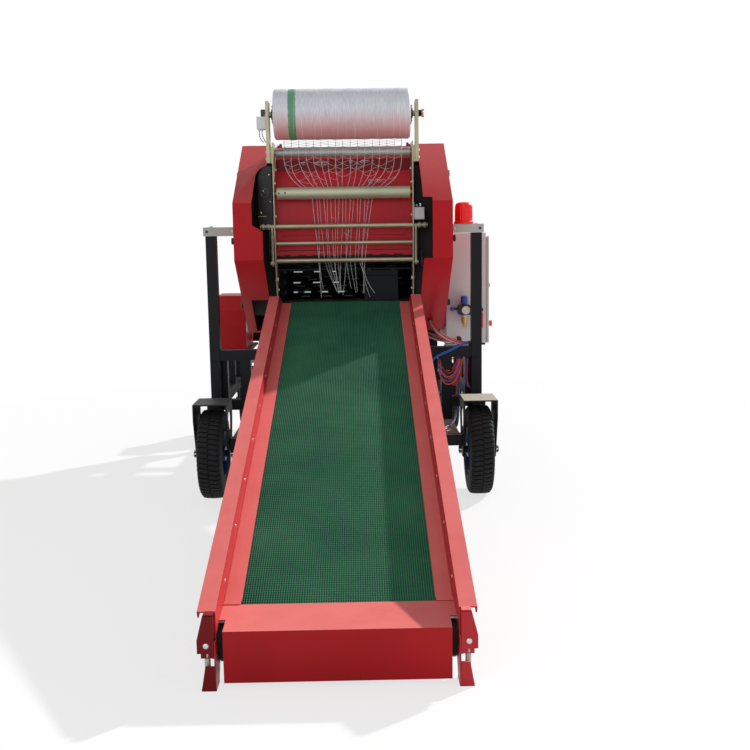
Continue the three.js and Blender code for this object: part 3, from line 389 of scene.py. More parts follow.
def strand_white():
    """White where the strands hang in front of the panel, and grey as painted shade where they run against the sky.
    """
    finish = Finish("net strands")
    height = finish.axis(finish.place(), "Z")
    shaded_band = height.step(1.222, 1.232) * (1 - height.step(1.249, 1.254))
    return finish.surface(base_color=finish.mix(shaded_band, srgb(236, 238, 242), srgb(132, 136, 144)), roughness=0.45)


strand_finish = strand_white()
core_brown = solid_colour("cardboard core", srgb(150, 118, 84), 0.8)
dark_blue = solid_colour("dark panel", srgb(9, 13, 22), 0.5, specular_ior_level=0.2)
print("all finishes:", len(bpy.data.materials))

# %% [markdown]
# ## Softening the frame's own pieces
# A welded tube or folded sheet never has a razor edge. The frame's meshes are left alone; modifiers do the work
# when they are drawn: weld the corners, merge flat triangles into whole faces, round each edge by about a
# millimetre, and shade what is left smoothly while large faces stay flat.

# %% Soft edges as modifiers


def soften_group():
    group = bpy.data.node_groups.new("soften", "GeometryNodeTree")
    group.interface.new_socket("Geometry", in_out="INPUT", socket_type="NodeSocketGeometry")
    group.interface.new_socket("Geometry", in_out="OUTPUT", socket_type="NodeSocketGeometry")
    start, end = group.nodes.new("NodeGroupInput"), group.nodes.new("NodeGroupOutput")
    smooth, sharp = (group.nodes.new("GeometryNodeSetShadeSmooth") for _ in range(2))
    angle = group.nodes.new("GeometryNodeInputMeshEdgeAngle")
    over = group.nodes.new("FunctionNodeCompare")
    over.inputs[1].default_value = radians(50)
    sharp.domain = "EDGE"
    sharp.inputs["Shade Smooth"].default_value = False
    for a, b in ((start.outputs[0], smooth.inputs[0]), (smooth.outputs[0], sharp.inputs[0]),
                 (angle.outputs[0], over.inputs[0]),
                 (over.outputs[0], sharp.inputs["Selection"]), (sharp.outputs[0], end.inputs[0])):
        group.links.new(a, b)
    return group


SOFTEN = soften_group()


def soft_edges(piece, width):
    """Rounds a piece's edges by width in metres and shades it smoothly."""
    if width:
        bevel = piece.modifiers.new("edge", "BEVEL")
        bevel.width, bevel.segments, bevel.limit_method, bevel.angle_limit = width, 2, "ANGLE", radians(40)
    piece.modifiers.new("soften", "NODES").node_group = SOFTEN
    if width:
        piece.modifiers.new("flat faces", "WEIGHTED_NORMAL").keep_sharp = True


def dress(node, material, width=0.0008):
    """Gives one of the frame's own pieces its finish and soft edges."""
    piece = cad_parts[node]
    piece.data.materials.clear()
    piece.data.materials.append(material)
    weld = piece.modifiers.new("weld", "WELD")
    weld.merge_threshold = 0.00002
    flat = piece.modifiers.new("flat", "DECIMATE")
    flat.decimate_type, flat.angle_limit = "DISSOLVE", radians(0.5)
    soft_edges(piece, width)


DRESSED = {
    frame_black: ["deck_frame", "side_frame_left", "side_frame_right", "fork_front_left", "fork_rear_left"],
    # the lower frame and the right forks take the lit copy of frame black, as painted sunlight
    sunlit_black: ["lower_frame", "fork_front_right", "fork_rear_right"],
    chamber_black: ["chamber_side_left", "chamber_side_right", "chamber_belly", "tailgate_rollers"],
    guard_black: ["chain_guard"],
    cover_red: ["cover_left", "cover_right", "motor_guard"],
    tailgate_red: ["tailgate"],
    conveyor_red: ["conveyor_frame", "conveyor_leg_left", "conveyor_leg_right"],
    nose_red: ["tail_cover"],
    panel_red: ["front_panel"],
    yellow_zinc: ["net_frame", "net_knife"],
    roller_steel: ["head_drum", "tail_drum", "lower_rollers", "upper_rollers", "feed_roller_lower"],
    worn_black: ["feed_roller_upper"],
    arm_grey: ["arm_left", "arm_right"],
    cabinet_grey: ["control_cabinet"],
    cast_alloy: ["motor_block", "valve_block"],
    black_plastic: ["roll_spindle"],
    white_plastic: ["sensor_box"],
}
for material, nodes in DRESSED.items():
    for node in nodes:
        dress(node, material)
print("dressed", sum(map(len, DRESSED.values())), "of the frame's own pieces")

# %% [markdown]
# ## Shapes in mesh code
# Everything that follows is made the way a workshop makes it: turned, bent, extruded or swept. One class holds the
# mesh under construction and has one method for each of those, so a bolt or a hose is one line. Points are given in
# the machine's millimetres, and the class turns them into metres as it adds them.

# %% A mesh under construction


def around(sides, start=0.0):
    return [start + 2 * pi * i / sides for i in range(sides)]


def on_circle(x, middle, radius, angle):
    """A point at x on a circle about an axis that runs across the machine, through middle."""
    return (x, middle[1] + radius * cos(angle), middle[2] + radius * sin(angle))


class Shape:
    """A mesh made of closed forms, each in the finish that was chosen last."""

    def __init__(self, finish, place=spot):
        self.mesh, self.finishes, self.now, self.place = bmesh.new(), [finish], 0, place

    def use(self, finish):
        if finish not in self.finishes:
            self.finishes.append(finish)
        self.now = self.finishes.index(finish)
        return self

    def skin(self, rings, closed=False):
        """Skins a row of rings. Closed joins the last ring to the first; otherwise both ends are capped."""
        rows = [[self.mesh.verts.new(self.place(*point)) for point in ring] for ring in rings]
        faces = [] if closed else [self.mesh.faces.new(rows[0][::-1]), self.mesh.faces.new(rows[-1])]
        for a, b in zip(rows, rows[1:] + (rows[:1] if closed else [])):
            faces += [self.mesh.faces.new((a[i - 1], a[i], b[i], b[i - 1])) for i in range(len(a))]
        for face in faces:
            face.material_index, face.smooth = self.now, True
        return self

    def turn(self, at, axis, profile, sides=24, closed=False):
        """A turned form: profile is a list of (distance along the axis, radius)."""
        at, axis = Vector(at), Vector(axis).normalized()
        u = axis.orthogonal().normalized()
        v = axis.cross(u)
        return self.skin([[at + axis * along + (u * cos(t) + v * sin(t)) * r for t in around(sides)] for along,
            r in profile], closed)

    def tube(self, path, radius, sides=8):
        """A round section swept along a path. radius is a number, or a function of the share of the way along."""
        points = [Vector(point) for point in path]
        side, rings = (points[1] - points[0]).orthogonal().normalized(), []
        for i, point in enumerate(points):
            ahead = (points[min(i + 1, len(points) - 1)] - points[max(i - 1, 0)]).normalized()
            side = (side - ahead * side.dot(ahead)).normalized()
            other = ahead.cross(side)
            r = radius(i / (len(points) - 1)) if callable(radius) else radius
            rings.append([point + (side * cos(t) + other * sin(t)) * r for t in around(sides)])
        return self.skin(rings)

    def block(self, *ends):
        """A box between two x, two y and two z, each pair in either order."""
        (x0, x1), (y0, y1), (z0, z1) = (sorted(ends[i:i + 2]) for i in (0, 2, 4))
        return self.skin([[(x, y0, z0), (x, y1, z0), (x, y1, z1), (x, y0, z1)] for x in (x0, x1)])

    def slab(self, outline, axis, low, high):
        """A flat outline given thickness along x or y."""
        return self.skin([[(c, a, b) if axis == "x" else (a, c, b) for a, b in outline] for c in sorted((low, high))])

    def bolt(self, at, axis, r=6.0, h=4.5):
        """A hexagon head on its washer."""
        self.turn(at, axis, [(0, r * 1.34), (1.2, r * 1.34)], 20)
        return self.turn(at, axis, [(1.0, r), (h - 0.8, r), (h, r * 0.84)], 6)

    def dome(self, at, axis, r, h):
        """A coach-bolt head: a shallow dome."""
        return self.turn(at, axis, [(0, r)] + [(h * sin(a), r * cos(a)) for a in (0.3, 0.6, 0.9, 1.2, 1.5)], 20)

    def make(self, name, body="chassis", width=0.0, replaces=(), slot=None):
        bmesh.ops.recalc_face_normals(self.mesh, faces=self.mesh.faces)
        data = bpy.data.meshes.new(name)
        self.mesh.to_mesh(data)
        self.mesh.free()
        for finish in self.finishes:
            data.materials.append(finish)
        piece = bpy.data.objects.new(name, data)
        bpy.context.scene.collection.objects.link(piece)
        soft_edges(piece, width)
        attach(piece, body)
        for node in replaces:
            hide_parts(node)
        print(name, "has", len(data.polygons), "faces")
        return piece


def flow(points, steps=8):
    """A smooth curve through points, without overshoot on short legs."""
    p = [Vector(point) for point in points]
    p = [p[0] * 2 - p[1]] + p + [p[-1] * 2 - p[-2]]
    curve = []
    for a, b, c, d in zip(p, p[1:], p[2:], p[3:]):
        gaps = [max(1e-6, (q - r).length) ** 0.5 for q, r in ((b, a), (c, b), (d, c))]
        t0, t1, t2, t3 = 0.0, gaps[0], gaps[0] + gaps[1], sum(gaps)
        for i in range(steps):
            t = t1 + (t2 - t1) * i / steps
            a1, a2, a3 = (((t1 - t) * a + (t - t0) * b) / (t1 - t0), ((t2 - t) * b + (t - t1) * c) / (t2 - t1),
                          ((t3 - t) * c + (t - t2) * d) / (t3 - t2))
            b1, b2 = ((t2 - t) * a1 + (t - t0) * a2) / (t2 - t0), ((t3 - t) * a2 + (t - t1) * a3) / (t3 - t1)
            curve.append(((t2 - t) * b1 + (t - t1) * b2) / (t2 - t1))
    return curve + [p[-2]]


def travel(points):
    return sum((b - a).length for a, b in zip(points, points[1:]))


print("a test curve is", round(travel(flow([(0, 0, 0), (100, 0, 0), (100, 100, 0)])), 1), "mm long")

# %% [markdown]
# ## Air hoses
# The feed gate, the knife and the tailgate are worked by air. Polyurethane hoses about 7 mm across run as a bundle
# from the chamber to the valve block, hang below it in loops of spare length, and two go down to the frame. Each
# hose is its own swept tube that winds slowly about the bundle's middle. Thinner ones hang in front of the deck.

# %% Hoses
UPPER_ROUTE = [(266.8, 200, 505), (290, 200, 505), (313, 184, 505), (333, 132, 503), (350, 64, 501), (370, 4, 501),
    (392, -34, 505),
               (410, -47, 505), (424, -54, 505)]
LOWER_ROUTE = [(420, -71, 439.6), (420, -71, 400), (420, -71, 345), (420, -66, 305), (419, -56, 270), (417, -54, 246),
    (413, -70, 228),
               (409, -100, 219.6), (402, -150, 218.4), (386, -220, 218.4), (366, -290, 218.4), (336, -352, 218.4),
               (296, -382, 218.4),
               (240, -389.7, 218.4)]


def strand_of(route, offset, start, wind):
    """A line beside the route, at a distance, that winds about it by some turns."""
    middle, side = flow(route, 7), Vector((0, 0, 1))
    line = []
    for i, point in enumerate(middle):
        ahead = (middle[min(i + 1, len(middle) - 1)] - middle[max(i - 1, 0)]).normalized()
        side = side - ahead * side.dot(ahead)
        side = side.normalized() if side.length > 1e-3 else ahead.orthogonal().normalized()
        angle = start + wind * 2 * pi * i / (len(middle) - 1)
        line.append(point + (side * cos(angle) + ahead.cross(side) * sin(angle)) * offset)
    return line


def hose(name, line, colour, diameter, node=None, sides=12, slot=True):
    """Sweeps one hose along its line; its length is the route's."""
    paint = ("hose_blue" if colour == "blue" else "hose_orange") if slot else None
    made = Shape(hose_finishes[colour]).tube(line, diameter / 2, sides).make(
        name, "chassis", replaces=[node] if node else [], slot=paint)
    path = [spot(*point) for point in line]
    travel(path)


def hoses(name, lines, colours, diameter, node=None):
    """A set of numbered hoses. It returns each line with its diameter, for the fittings at the ends."""
    for i, (line, colour) in enumerate(zip(lines, colours.split())):
        hose(f"{name}_{i + 1}", line, colour, diameter, node)
    print(name, "lengths are", [round(travel(line)) for line in lines], "mm")
    return [(line, diameter) for line in lines]


def hanging_loop(wider, aside, tilt):
    """A U between two fittings under the valve block, wider than they are and set aside of them."""
    reach = 20.0 + wider
    sides = [(408 + reach - (wider if z > 430 else wider * 0.25 if z > 405 else 0),
              -46 + aside * (0.5 if z > 430 else 1.0), z) for z in (439.6, 432, 420, 402, 384, 368)]
    arc = [(408 + reach * cos(a), -46 + aside, 358 - reach * sin(a)) for a in (pi * i / 14 for i in range(1, 14))]
    line = flow(sides + arc + [(816 - x, y, z) for x, y, z in reversed(sides)], 3)
    return [Vector((p.x, p.y + tilt * (440 - p.z) / 100, p.z)) for p in line]


FIFTH = 1.257             # of a turn, between hoses that run in a bundle of five
supply = hoses("supply_hose", [strand_of(UPPER_ROUTE, 6.8, FIFTH * i + 0.4, 0.3) for i in range(5)],
               "orange white blue orange white", 7.0, "hose_bundle_upper")
LOOPS = ((0, 0, 0), (0, 7.0, 1.5), (0.5, -7.5, -1), (6.5, 4.0, 1), (6.2, -3.0, 1.5), (2.5, -2.6, 4.0))
hoses("spare_hose", [hanging_loop(*way) for way in LOOPS], "orange blue red orange orange white", 4.8,
      "hose_loop")
gate = hoses("gate_hose", [strand_of(LOWER_ROUTE, 2.9, pi * i + 0.4, 0.5) for i in range(2)], "orange blue", 5.2,
             "hose_run_lower")


def garland(i):
    """A hose that leaves the deck's cross tube, swings down and to the left in front of the leg, and goes back up."""
    half, drop, middle = 29.5 + 2.1 * i, 42 + 6.6 * i, (386, 389, 384, 388, 390, 386, 389, 391)[i]
    top, turns = -96 - 10 * (i % 2), [pi * k / 22 for k in range(23)]
    loop = [(middle + half * cos(t) - 0.16 * drop * sin(t), top - (22 + 4.4 * i) * sin(t) ** 1.5,
             438 - drop * sin(t)) for t in turns]
    return [Vector(point) for point in [(middle + half, top, 446.4)] + loop + [(middle - half, top, 446.4)]]


SWEEP_ROUTE = [(330, 96, 566), (331, 60, 554), (338, 0, 545), (352, -50, 529), (380, -72, 512), (412, -82, 500),
    (442, -94, 495), (466.4, -98, 494)]
FRONT_ROUTE = [(300, -100, 446.4), (300, -100, 430), (301, -105, 417), (303, -119, 409), (308, -133, 414),
    (316, -141, 428), (330, -142, 445), (352, -138, 457), (379, -134, 468), (406, -128, 480), (430, -116, 491),
    (448, -106, 496), (466.4, -103, 497)]
DROP_ROUTE = [(449, -100, 446.4), (449, -100, 430), (447, -101, 400), (446, -101, 372), (448, -101, 350),
              (454, -100.5, 335), (466.6, -100, 326)]


def front_line(i):
    """The two hoses in front of the cross tube run side by side. The second starts further out and ends above."""
    line = flow(FRONT_ROUTE, 5)
    ramp = [min(1.0, k / 20) for k in range(len(line))]
    return [Vector((p.x + 5.6 * i * (1 - up), p.y, p.z + 5.4 * i * up)) for p, up in zip(line, ramp)]


def drop_line(i):
    """The two hoses that drop beside the post close up as they enter it."""
    line = flow(DROP_ROUTE, 5)
    return [Vector((p.x + 6 * i * max(0.2, min(1.0, 4 - k / 8)), p.y - 6 * i, p.z)) for k, p in enumerate(line)]


free = hoses("garland_hose", [garland(i) for i in range(8)], "orange red blue orange orange blue red orange", 4.0)
free += hoses("sweep_hose", [strand_of(SWEEP_ROUTE, 5.4, FIFTH * i, 0.4) for i in range(5)],
              "white orange blue red orange", 5.8)
free += hoses("front_hose", [front_line(i) for i in range(2)], "blue blue", 4.0)
free += hoses("drop_hose", [drop_line(i) for i in range(2)], "blue red", 4.8)

# %% [markdown]
# ## Net roll
# The net is knitted, so a full roll is firm but never a perfect cylinder: it swells and dips by half a millimetre
# as the layers cross. The roll is turned with that ripple in it, and keeps a cardboard core. Loose turns of thread
# lie on it, each a little crooked.

# %% Net roll
spool_low, spool_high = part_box("net_roll")
SPOOL_HALF = (spool_high.x - spool_low.x) * 500
SPOOL_R = (spool_high.z - spool_low.z) * 500
SPOOL = (0, -17, (spool_low.z + spool_high.z) * 500)


def net_spool():
    roll = Shape(roll_finish)
    sides, stations = 72, 84
    phase = [random.uniform(0, 6.28) for _ in range(8)]
    rings = []
    for k in range(stations + 1):
        x = -SPOOL_HALF + 2 * SPOOL_HALF * k / stations
        edge = min(SPOOL_HALF - abs(x), 7.0) / 7.0
        ring = []
        for t in around(sides):
            ripple = (0.45 * sin(x * 0.075 + phase[0] + 1.2 * sin(t)) + 0.3 * sin(x * 0.21 + 2 * t + phase[1])
                      + 0.22 * sin(x * 0.43 + phase[2] - 3 * t))
            r = SPOOL_R - 1.0 + ripple - 6.0 * (1 - sqrt(max(0.0, 1 - (1 - edge) ** 2)))
            ring.append(on_circle(x, SPOOL, r, t))
        rings.append(ring)
    ends = [[on_circle(x, SPOOL, 41, t) for t in around(sides)] for x in (SPOOL_HALF - 0.5, -SPOOL_HALF + 0.5)]
    roll.skin(ends + rings, closed=True)
    roll.use(core_brown).turn((-SPOOL_HALF, SPOOL[1], SPOOL[2]), RIGHT,
        [(0, 41.5), (2 * SPOOL_HALF, 41.5), (2 * SPOOL_HALF, 38.2), (0, 38.2)], 48, closed=True)
    roll.use(strand_finish)
    for _ in range(26):
        x = random.uniform(-SPOOL_HALF + 10, SPOOL_HALF - 10)
        lean, start = random.uniform(-3.0, 3.0), random.uniform(0, 6.28)
        reach = random.uniform(1.4, 5.6)
        line = [on_circle(x + lean * t + 0.5 * sin(5 * t), SPOOL, SPOOL_R - 0.8, start + t)
                for t in (reach * i / 30 for i in range(31))]
        roll.tube([(max(-SPOOL_HALF + 8, min(SPOOL_HALF - 8, a)), b, c) for a, b, c in line], 0.45, 4)
    return roll.make("net_spool", "roll", replaces=["net_roll"], slot="net_plastic")


net_spool()

# %% [markdown]
# ## Net strands
# The loose end leaves the roll at the back, passes over the steel roller and hangs down behind the feed tube,
# where it draws together. Knitted baler net is straight pillars, about 28 mm apart at full width, joined by zig-zag
# threads. Every pillar and every crossing thread is a thin swept tube, with a little slack and unevenness.

# %% Net strands
TOP = (45.0, 1213.0, 18.6)      # the top roller's axis, and the radius that the net bends round
MEETS, HANGS_AT = 0.17, 13.6    # the angle at which it meets that roller, and the plane it hangs in
TUBE_Z, BARS_Z = 1062, 811      # the heights at which it passes the feed tube and the knife's lower bars
PILLARS, LOOSE_ENDS = 17, {0: -94, 1: -80, 10: 24, 11: 38, 12: 46, 13: 66, 14: 72, 15: 92, 16: 109}


def pillar_line(k, down, loose):
    """A point on pillar k. down is how far along the net the point is, from 0 at the roll to 3.9 at the loose end."""
    share = 2 * k / (PILLARS - 1) - 1
    wide, tube_x = share * 222, share * 114 - 4
    bar_x = share * 92 - 12
    end_x = LOOSE_ENDS.get(k, -24 + (k - 5) * 3.2)
    stage, part = int(down), down - int(down)
    if stage == 0:
        meets = Vector((wide, TOP[0] + TOP[2] * sin(MEETS), TOP[1] + TOP[2] * cos(MEETS)))
        point = Vector((wide, 47.0, 1279.2)).lerp(meets, part)
    elif stage == 1:
        angle = -MEETS + part * (pi / 2 + MEETS)
        point = Vector((wide, TOP[0] - TOP[2] * sin(angle), TOP[1] + TOP[2] * cos(angle)))
    elif stage == 2:
        bow = part ** (3.2 if abs(share) > 0.8 else 2.4)
        forward_by = (HANGS_AT - TOP[0] + TOP[2]) * min(1.0, part * 1.35)
        point = Vector((wide + (tube_x - wide) * bow, TOP[0] - TOP[2] + forward_by,
            TOP[1] + (TUBE_Z - TOP[1]) * part))
    else:
        part = (down - 3) / 0.9
        low = 667 + (14 if k % 3 else 0) + 20 * abs(sin(k * 1.7)) * (0 < k < 13)
        z = TUBE_Z + (low - TUBE_Z) * part
        if z > BARS_Z:
            x = tube_x + (bar_x - tube_x) * (TUBE_Z - z) / (TUBE_Z - BARS_Z)
        else:
            gather = (BARS_Z - z) / (BARS_Z - low)
            pinch = 68 - bar_x if k > 12 else 0.0
            x = bar_x + pinch * sin(min(1.0, gather * 1.7) * pi / 2)
            x += (end_x - bar_x - pinch) * gather ** (2.2 if k > 12 else 1.25)
        point = Vector((x, HANGS_AT, z))
    sway = loose[k] * min(1.0, max(0.0, down - 2) * 1.2)
    aside = 3.4 * sin(down * 5.1 + sway * 3) * min(1, max(0, down - 1.9)) + sway * 2.4
    return point + Vector((aside, 0.7 * sin(down * 7 + k), 0))


def net_strands():
    net = Shape(strand_finish)
    loose = [random.uniform(-1, 1) for _ in range(PILLARS)]
    stages = ((0, 1, 4), (1, 1, 8), (2, 1, 16), (3, 0.9, 24))      # start, length and steps of each stage
    stations = [start + long * i / steps for start, long, steps in stages for i in range(steps)] + [3.9]
    for k in range(PILLARS):
        thick = 0.62 if k not in (0, PILLARS - 1) else 0.8
        net.tube([pillar_line(k, down, loose) for down in stations], lambda s: thick * (1.5 if s < 0.2 else 1.0), 5)
    for row in range(30):     # zig-zag threads across the open net, fewer where it is drawn together
        down = 0.06 + row * 0.098 if row < 20 else 2.02 + (row - 20) * 0.085
        for k in range(PILLARS - 1):
            if random.random() < (0.94 if down < 2.0 else 0.62 if down < 2.5 else 0.25):
                a, b = (down, down + 0.075) if (k + row) % 2 else (down + 0.075, down)
                start, end = pillar_line(k, a, loose), pillar_line(k + 1, b, loose)
                sag = Vector((0, 0.6, -random.uniform(0.5, 5.0) if down > 1.9 else 0.0))
                net.tube([start, start.lerp(end, 0.5) + sag, end], 0.55 if down < 2.0 else 0.38, 4)
    for _ in range(24):       # broken threads that curl about the lower part
        k, down = random.randrange(PILLARS), random.uniform(2.05, 3.7)
        start = pillar_line(k, down, loose)
        end = start + Vector((random.uniform(-26, 26), random.uniform(-2, 3), random.uniform(-34, 14)))
        net.tube(flow([start, start.lerp(end, 0.4) + Vector((random.uniform(-9, 9), 1.5, -6)), end], 4), 0.32, 4)
    for low, high, z in ((96, 186, 1104), (-150, -60, 1172), (20, 140, 1176)):   # gathered knots
        for _ in range(9):
            x, r = random.uniform(low, high), random.uniform(3, 7)
            knot = [(x + r * cos(t) * 1.3, 18 + 2 * sin(2 * t), z + random.uniform(-1, 1) + r * sin(t))
                    for t in (0.7 * i for i in range(8))]
            net.tube(knot, 0.4, 4)
    return net.make("net_strands", "chassis", replaces=["net_sheet"], slot="net_plastic")


net_strands()

# %% [markdown]
# ## Belt
# A rough-top belt grips loose straw. Its ribs run across, eight millimetres apart, and stand a little over a
# millimetre high. The outline with all its ribs is drawn once round both drums and skinned to its width.

# %% Belt
BELT_HALF, BELT_TOP, BELT_UNDER = 210.0, 42.6, 40.2      # half its width, and both faces' radii round a drum
RIB_PITCH, RIB_HEIGHT, TURN_RIBS = 8.0, 1.3, 16


def belt_ring(radius, x, ribbed):
    points, count = [], int(BELT_RUN / RIB_PITCH)
    rise = RIB_HEIGHT if ribbed else 0.0
    for side in (1, -1):      # the carrying run, then the return run, each ending round its drum
        for i in range(count):
            along = -BELT_RUN + i * BELT_RUN / count if side > 0 else -i * BELT_RUN / count
            for step, lift in ((0.0, 0.0), (0.18, rise), (0.55, rise), (0.75, 0.0)):
                points.append((x, along + side * step * BELT_RUN / count, side * (radius + lift)))
        end = 0.0 if side > 0 else -BELT_RUN
        for j in range(TURN_RIBS):
            for step, lift in ((0.0, 0.0), (0.25, rise), (0.5, rise), (0.75, 0.0)):
                angle = pi * j / TURN_RIBS + step * pi / TURN_RIBS
                points.append((x, end + side * sin(angle) * (radius + lift), side * cos(angle) * (radius + lift)))
    return points


belt = Shape(belt_finish, on_belt)
belt.skin([belt_ring(BELT_TOP, -BELT_HALF, True), belt_ring(BELT_TOP, BELT_HALF, True),
           belt_ring(BELT_UNDER, BELT_HALF, False), belt_ring(BELT_UNDER, -BELT_HALF, False)], closed=True)
belt.make("belt_with_ribs", "conveyor", replaces=["conveyor_belt"], slot="green_belt")

# %% [markdown]
# ## Wheels
# Solid-looking trailer wheels: a black tyre with two rows of cross blocks, set half a block apart, on a blue
# pressed rim. The carcass and rim are turned; each block is a small curved brick that follows the crown and folds
# over the shoulder. The tread ends just inside the radius that the frame gives, so the wheels stand on the floor.

# %% Wheels
BLOCKS, BLOCK_SHARE = 54, 0.37         # tread blocks in a row, and half of each one's share of its pitch
TYRE_R, AXLES = 155.0, (-390, 772)     # the axles' places behind the meeting line
BLOCK_SECTION = ((-1, 8.0), (-1, 0.9), (-0.8, 0.3), (0.8, 0.3), (1, 0.9), (1, 8.0))     # share of its angle, depth
RIM = [(-37, 82), (-37, 78), (-30, 73), (-12, 71), (2, 66), (8, 58), (6, 40), (14, 31), (14, 24), (20, 24), (12, 44),
       (13, 58), (10, 68), (-10, 75), (30, 75), (37, 78.5), (37, 82)]


def crown(x, height):
    """The tyre's radius at x across it."""
    return TYRE_R - height - 0.0021 * x * x - (max(0.0, abs(x) - 30) ** 2) * 0.11


def wheel(node, body, side):
    """Tyre, rim and nuts of one wheel, with its dished face on the outer side."""
    low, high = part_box(node)
    middle = ((low.x + high.x) * 500 - MIDDLE * 1000, (low.y + high.y) * 500 - FRONT * 1000, (high.z - low.z) * 500)
    out = side * RIGHT
    half = [(-36, 78), (-39.5, 84), (-41.6, 98), (-41.6, 116), (-40, 130)]
    half += [(s, crown(s, 6.0)) for s in (-37, -30, -18, -2)]
    profile = half + [(-a, b) for a, b in reversed(half)]
    tyre = Shape(tyre_finish).turn(middle, out, profile, 72, closed=True)
    for r, wall in ((104, -1), (104, 1), (88, -1), (88, 1)):      # moulded rings on both walls
        ring = [(wall * 40.5, r - 1.6), (wall * 42.0, r - 1.0), (wall * 42.0, r + 1.0), (wall * 40.5, r + 1.6)]
        tyre.turn(middle, out, ring, 72, closed=True)
    for row, (a, b) in enumerate(((-38.5, -1.8), (1.8, 38.5))):
        for i in range(BLOCKS):
            middle_angle = 2 * pi * (i + 0.5 * row) / BLOCKS
            spread = BLOCK_SHARE * 2 * pi / BLOCKS
            rings = []
            for s in [a + (b - a) * j / 6 for j in range(7)]:
                ring = []
                for share, height in BLOCK_SECTION:
                    r, t = crown(s, height), middle_angle + share * spread + 0.012 * sin(s * 0.16)
                    ring.append(on_circle(middle[0] + side * s, middle, r, t))
                rings.append(ring)
            tyre.skin(rings)
    tyre.use(rim_blue).turn(middle, out, RIM, 48, closed=True)
    tyre.turn(middle, out, [(-40, 13), (-40, 25), (-36, 27), (36, 27), (40, 25), (40, 13)], 32, closed=True)
    tyre.use(bright_bolt)
    for t in around(5, 0.4):
        at = on_circle(middle[0] + side * 9, middle, 49, t)
        tyre.bolt(at, out, 6.5, 7)
        tyre.bolt((middle[0] + side * 6, at[1], at[2]), -out, 6.5, 6)
    tyre.make(node + "_shod", body, replaces=[node], slot="tyre_rubber")


for place in ("front", "rear"):
    for word, side in zip(("left", "right"), SIDES):
        wheel(f"wheel_{place}_{word}", f"wheel_{place}_{word}_spin", side)

# %% [markdown]
# ## The net unit
# Between the two yellow plates sit the steel roller that the net bends round, the feed tube and the knife. The
# fasteners give it scale: domed bolts through the plates, collars on the knife shaft, and links that pull it.

# %% Fasteners and fittings of the net unit
net_bolts = Shape(bright_bolt)
for side, out in OUTWARD:
    face = side * 261.0
    for y, z, r in ((-6, 740, 8.5), (16, 700, 5.5), (-26, 1097, 5.0), (-24, 976, 5.0), (34, 1150, 5.5)):
        net_bolts.dome((face, y, z), out, r, r * 0.62)
        net_bolts.turn((side * 257.0, y, z), -out, [(0, r * 1.1), (1.2, r * 1.1), (1.3, r * 0.9), (5.5, r * 0.9),
            (6, r * 0.7)], 6)
    for z in (1186, 1212):
        net_bolts.bolt((side * 281.0, -17, z), out, 5.5, 4.6)
    net_bolts.use(black_plastic)
    for y, z, r in ((45, 1213, 15), (-10, 1060, 16)):      # plastic bearings of the roller and the tube
        net_bolts.turn((face, y, z), out, [(0, r), (3, r), (5, r - 3), (5, 6.6), (0, 6.6)], 28, closed=True)
    net_bolts.use(bright_bolt)
net_bolts.use(black_plastic)
for x in (-241, -217):
    net_bolts.turn((x, -31.4, 1061), -BACK, [(0, 3.4), (1.3, 3.4)], 16)
# a dark red sheet over the recess behind the roller, as painted shade
net_bolts.use(painted_shade_red).block(-255, 255, 70.8, 71.8, 1147, 1189)
net_bolts.use(panel_red).slab([(21.8, 900), (18.6, 906), (18.6, 932), (21.8, 938)], "x", -236, 236)
net_bolts.use(seal_rubber).block(-252, 252, 20.9, 21.9, 845.6, 848.4)
for k in range(9):
    net_bolts.block(-230 + k * 52, -208 + k * 52 + 8 * (k % 3), 18.6, 21.9, 827.2, 830.5)
net_bolts.make("net_unit_fittings", "chassis", 0.0003, slot="yellow_zinc")

knife_bits = Shape(bright_bolt)
for side, out in OUTWARD:
    knife_bits.use(pale_zinc)
    for x, r in ((303, 11.5), (283, 11.5)):
        knife_bits.turn((side * x, -20, 937), RIGHT, [(-5, r - 1), (-4, r), (4, r), (5, r - 1), (5, 9.3), (-5, 9.3)],
            28, closed=True)
        knife_bits.turn((side * x, -20 - r + 1, 937), -BACK, [(0, 3), (2.4, 3), (2.4, 1.8)], 12)
    knife_bits.use(bright_bolt).bolt((side * 273, -20, 800), out, 7.0, 6)
    knife_bits.dome((side * 265, -20, 800), -out, 6.0, 3.0)
    knife_bits.use(pale_zinc).tube([(side * 269, -31, 922), (side * 269, -31, 812)], 2.2, 8)
    knife_bits.use(bright_bolt)
knife_bits.use(worn_black).turn((290, -22, 842), (0.06, 0, -1),
    [(0, 2.0), (22, 2.2), (26, 3.6), (44, 6.5), (62, 5.0), (64, 3.4)], 16)
knife_bits.make("knife_fittings", "knife", 0.0003)
dress("top_net_roller", silver_zinc, 0.0)
dress("net_feed_tube", pale_zinc, 0.0)

# %% [markdown]
# ## Spindle, brake and switch
# The roll turns on a bar with a black cone in each end of its core and a copper-coloured wing screw. On the left an
# air valve works the roll brake: a pale block with a black coil and two thin tubes. On the right a switch box.

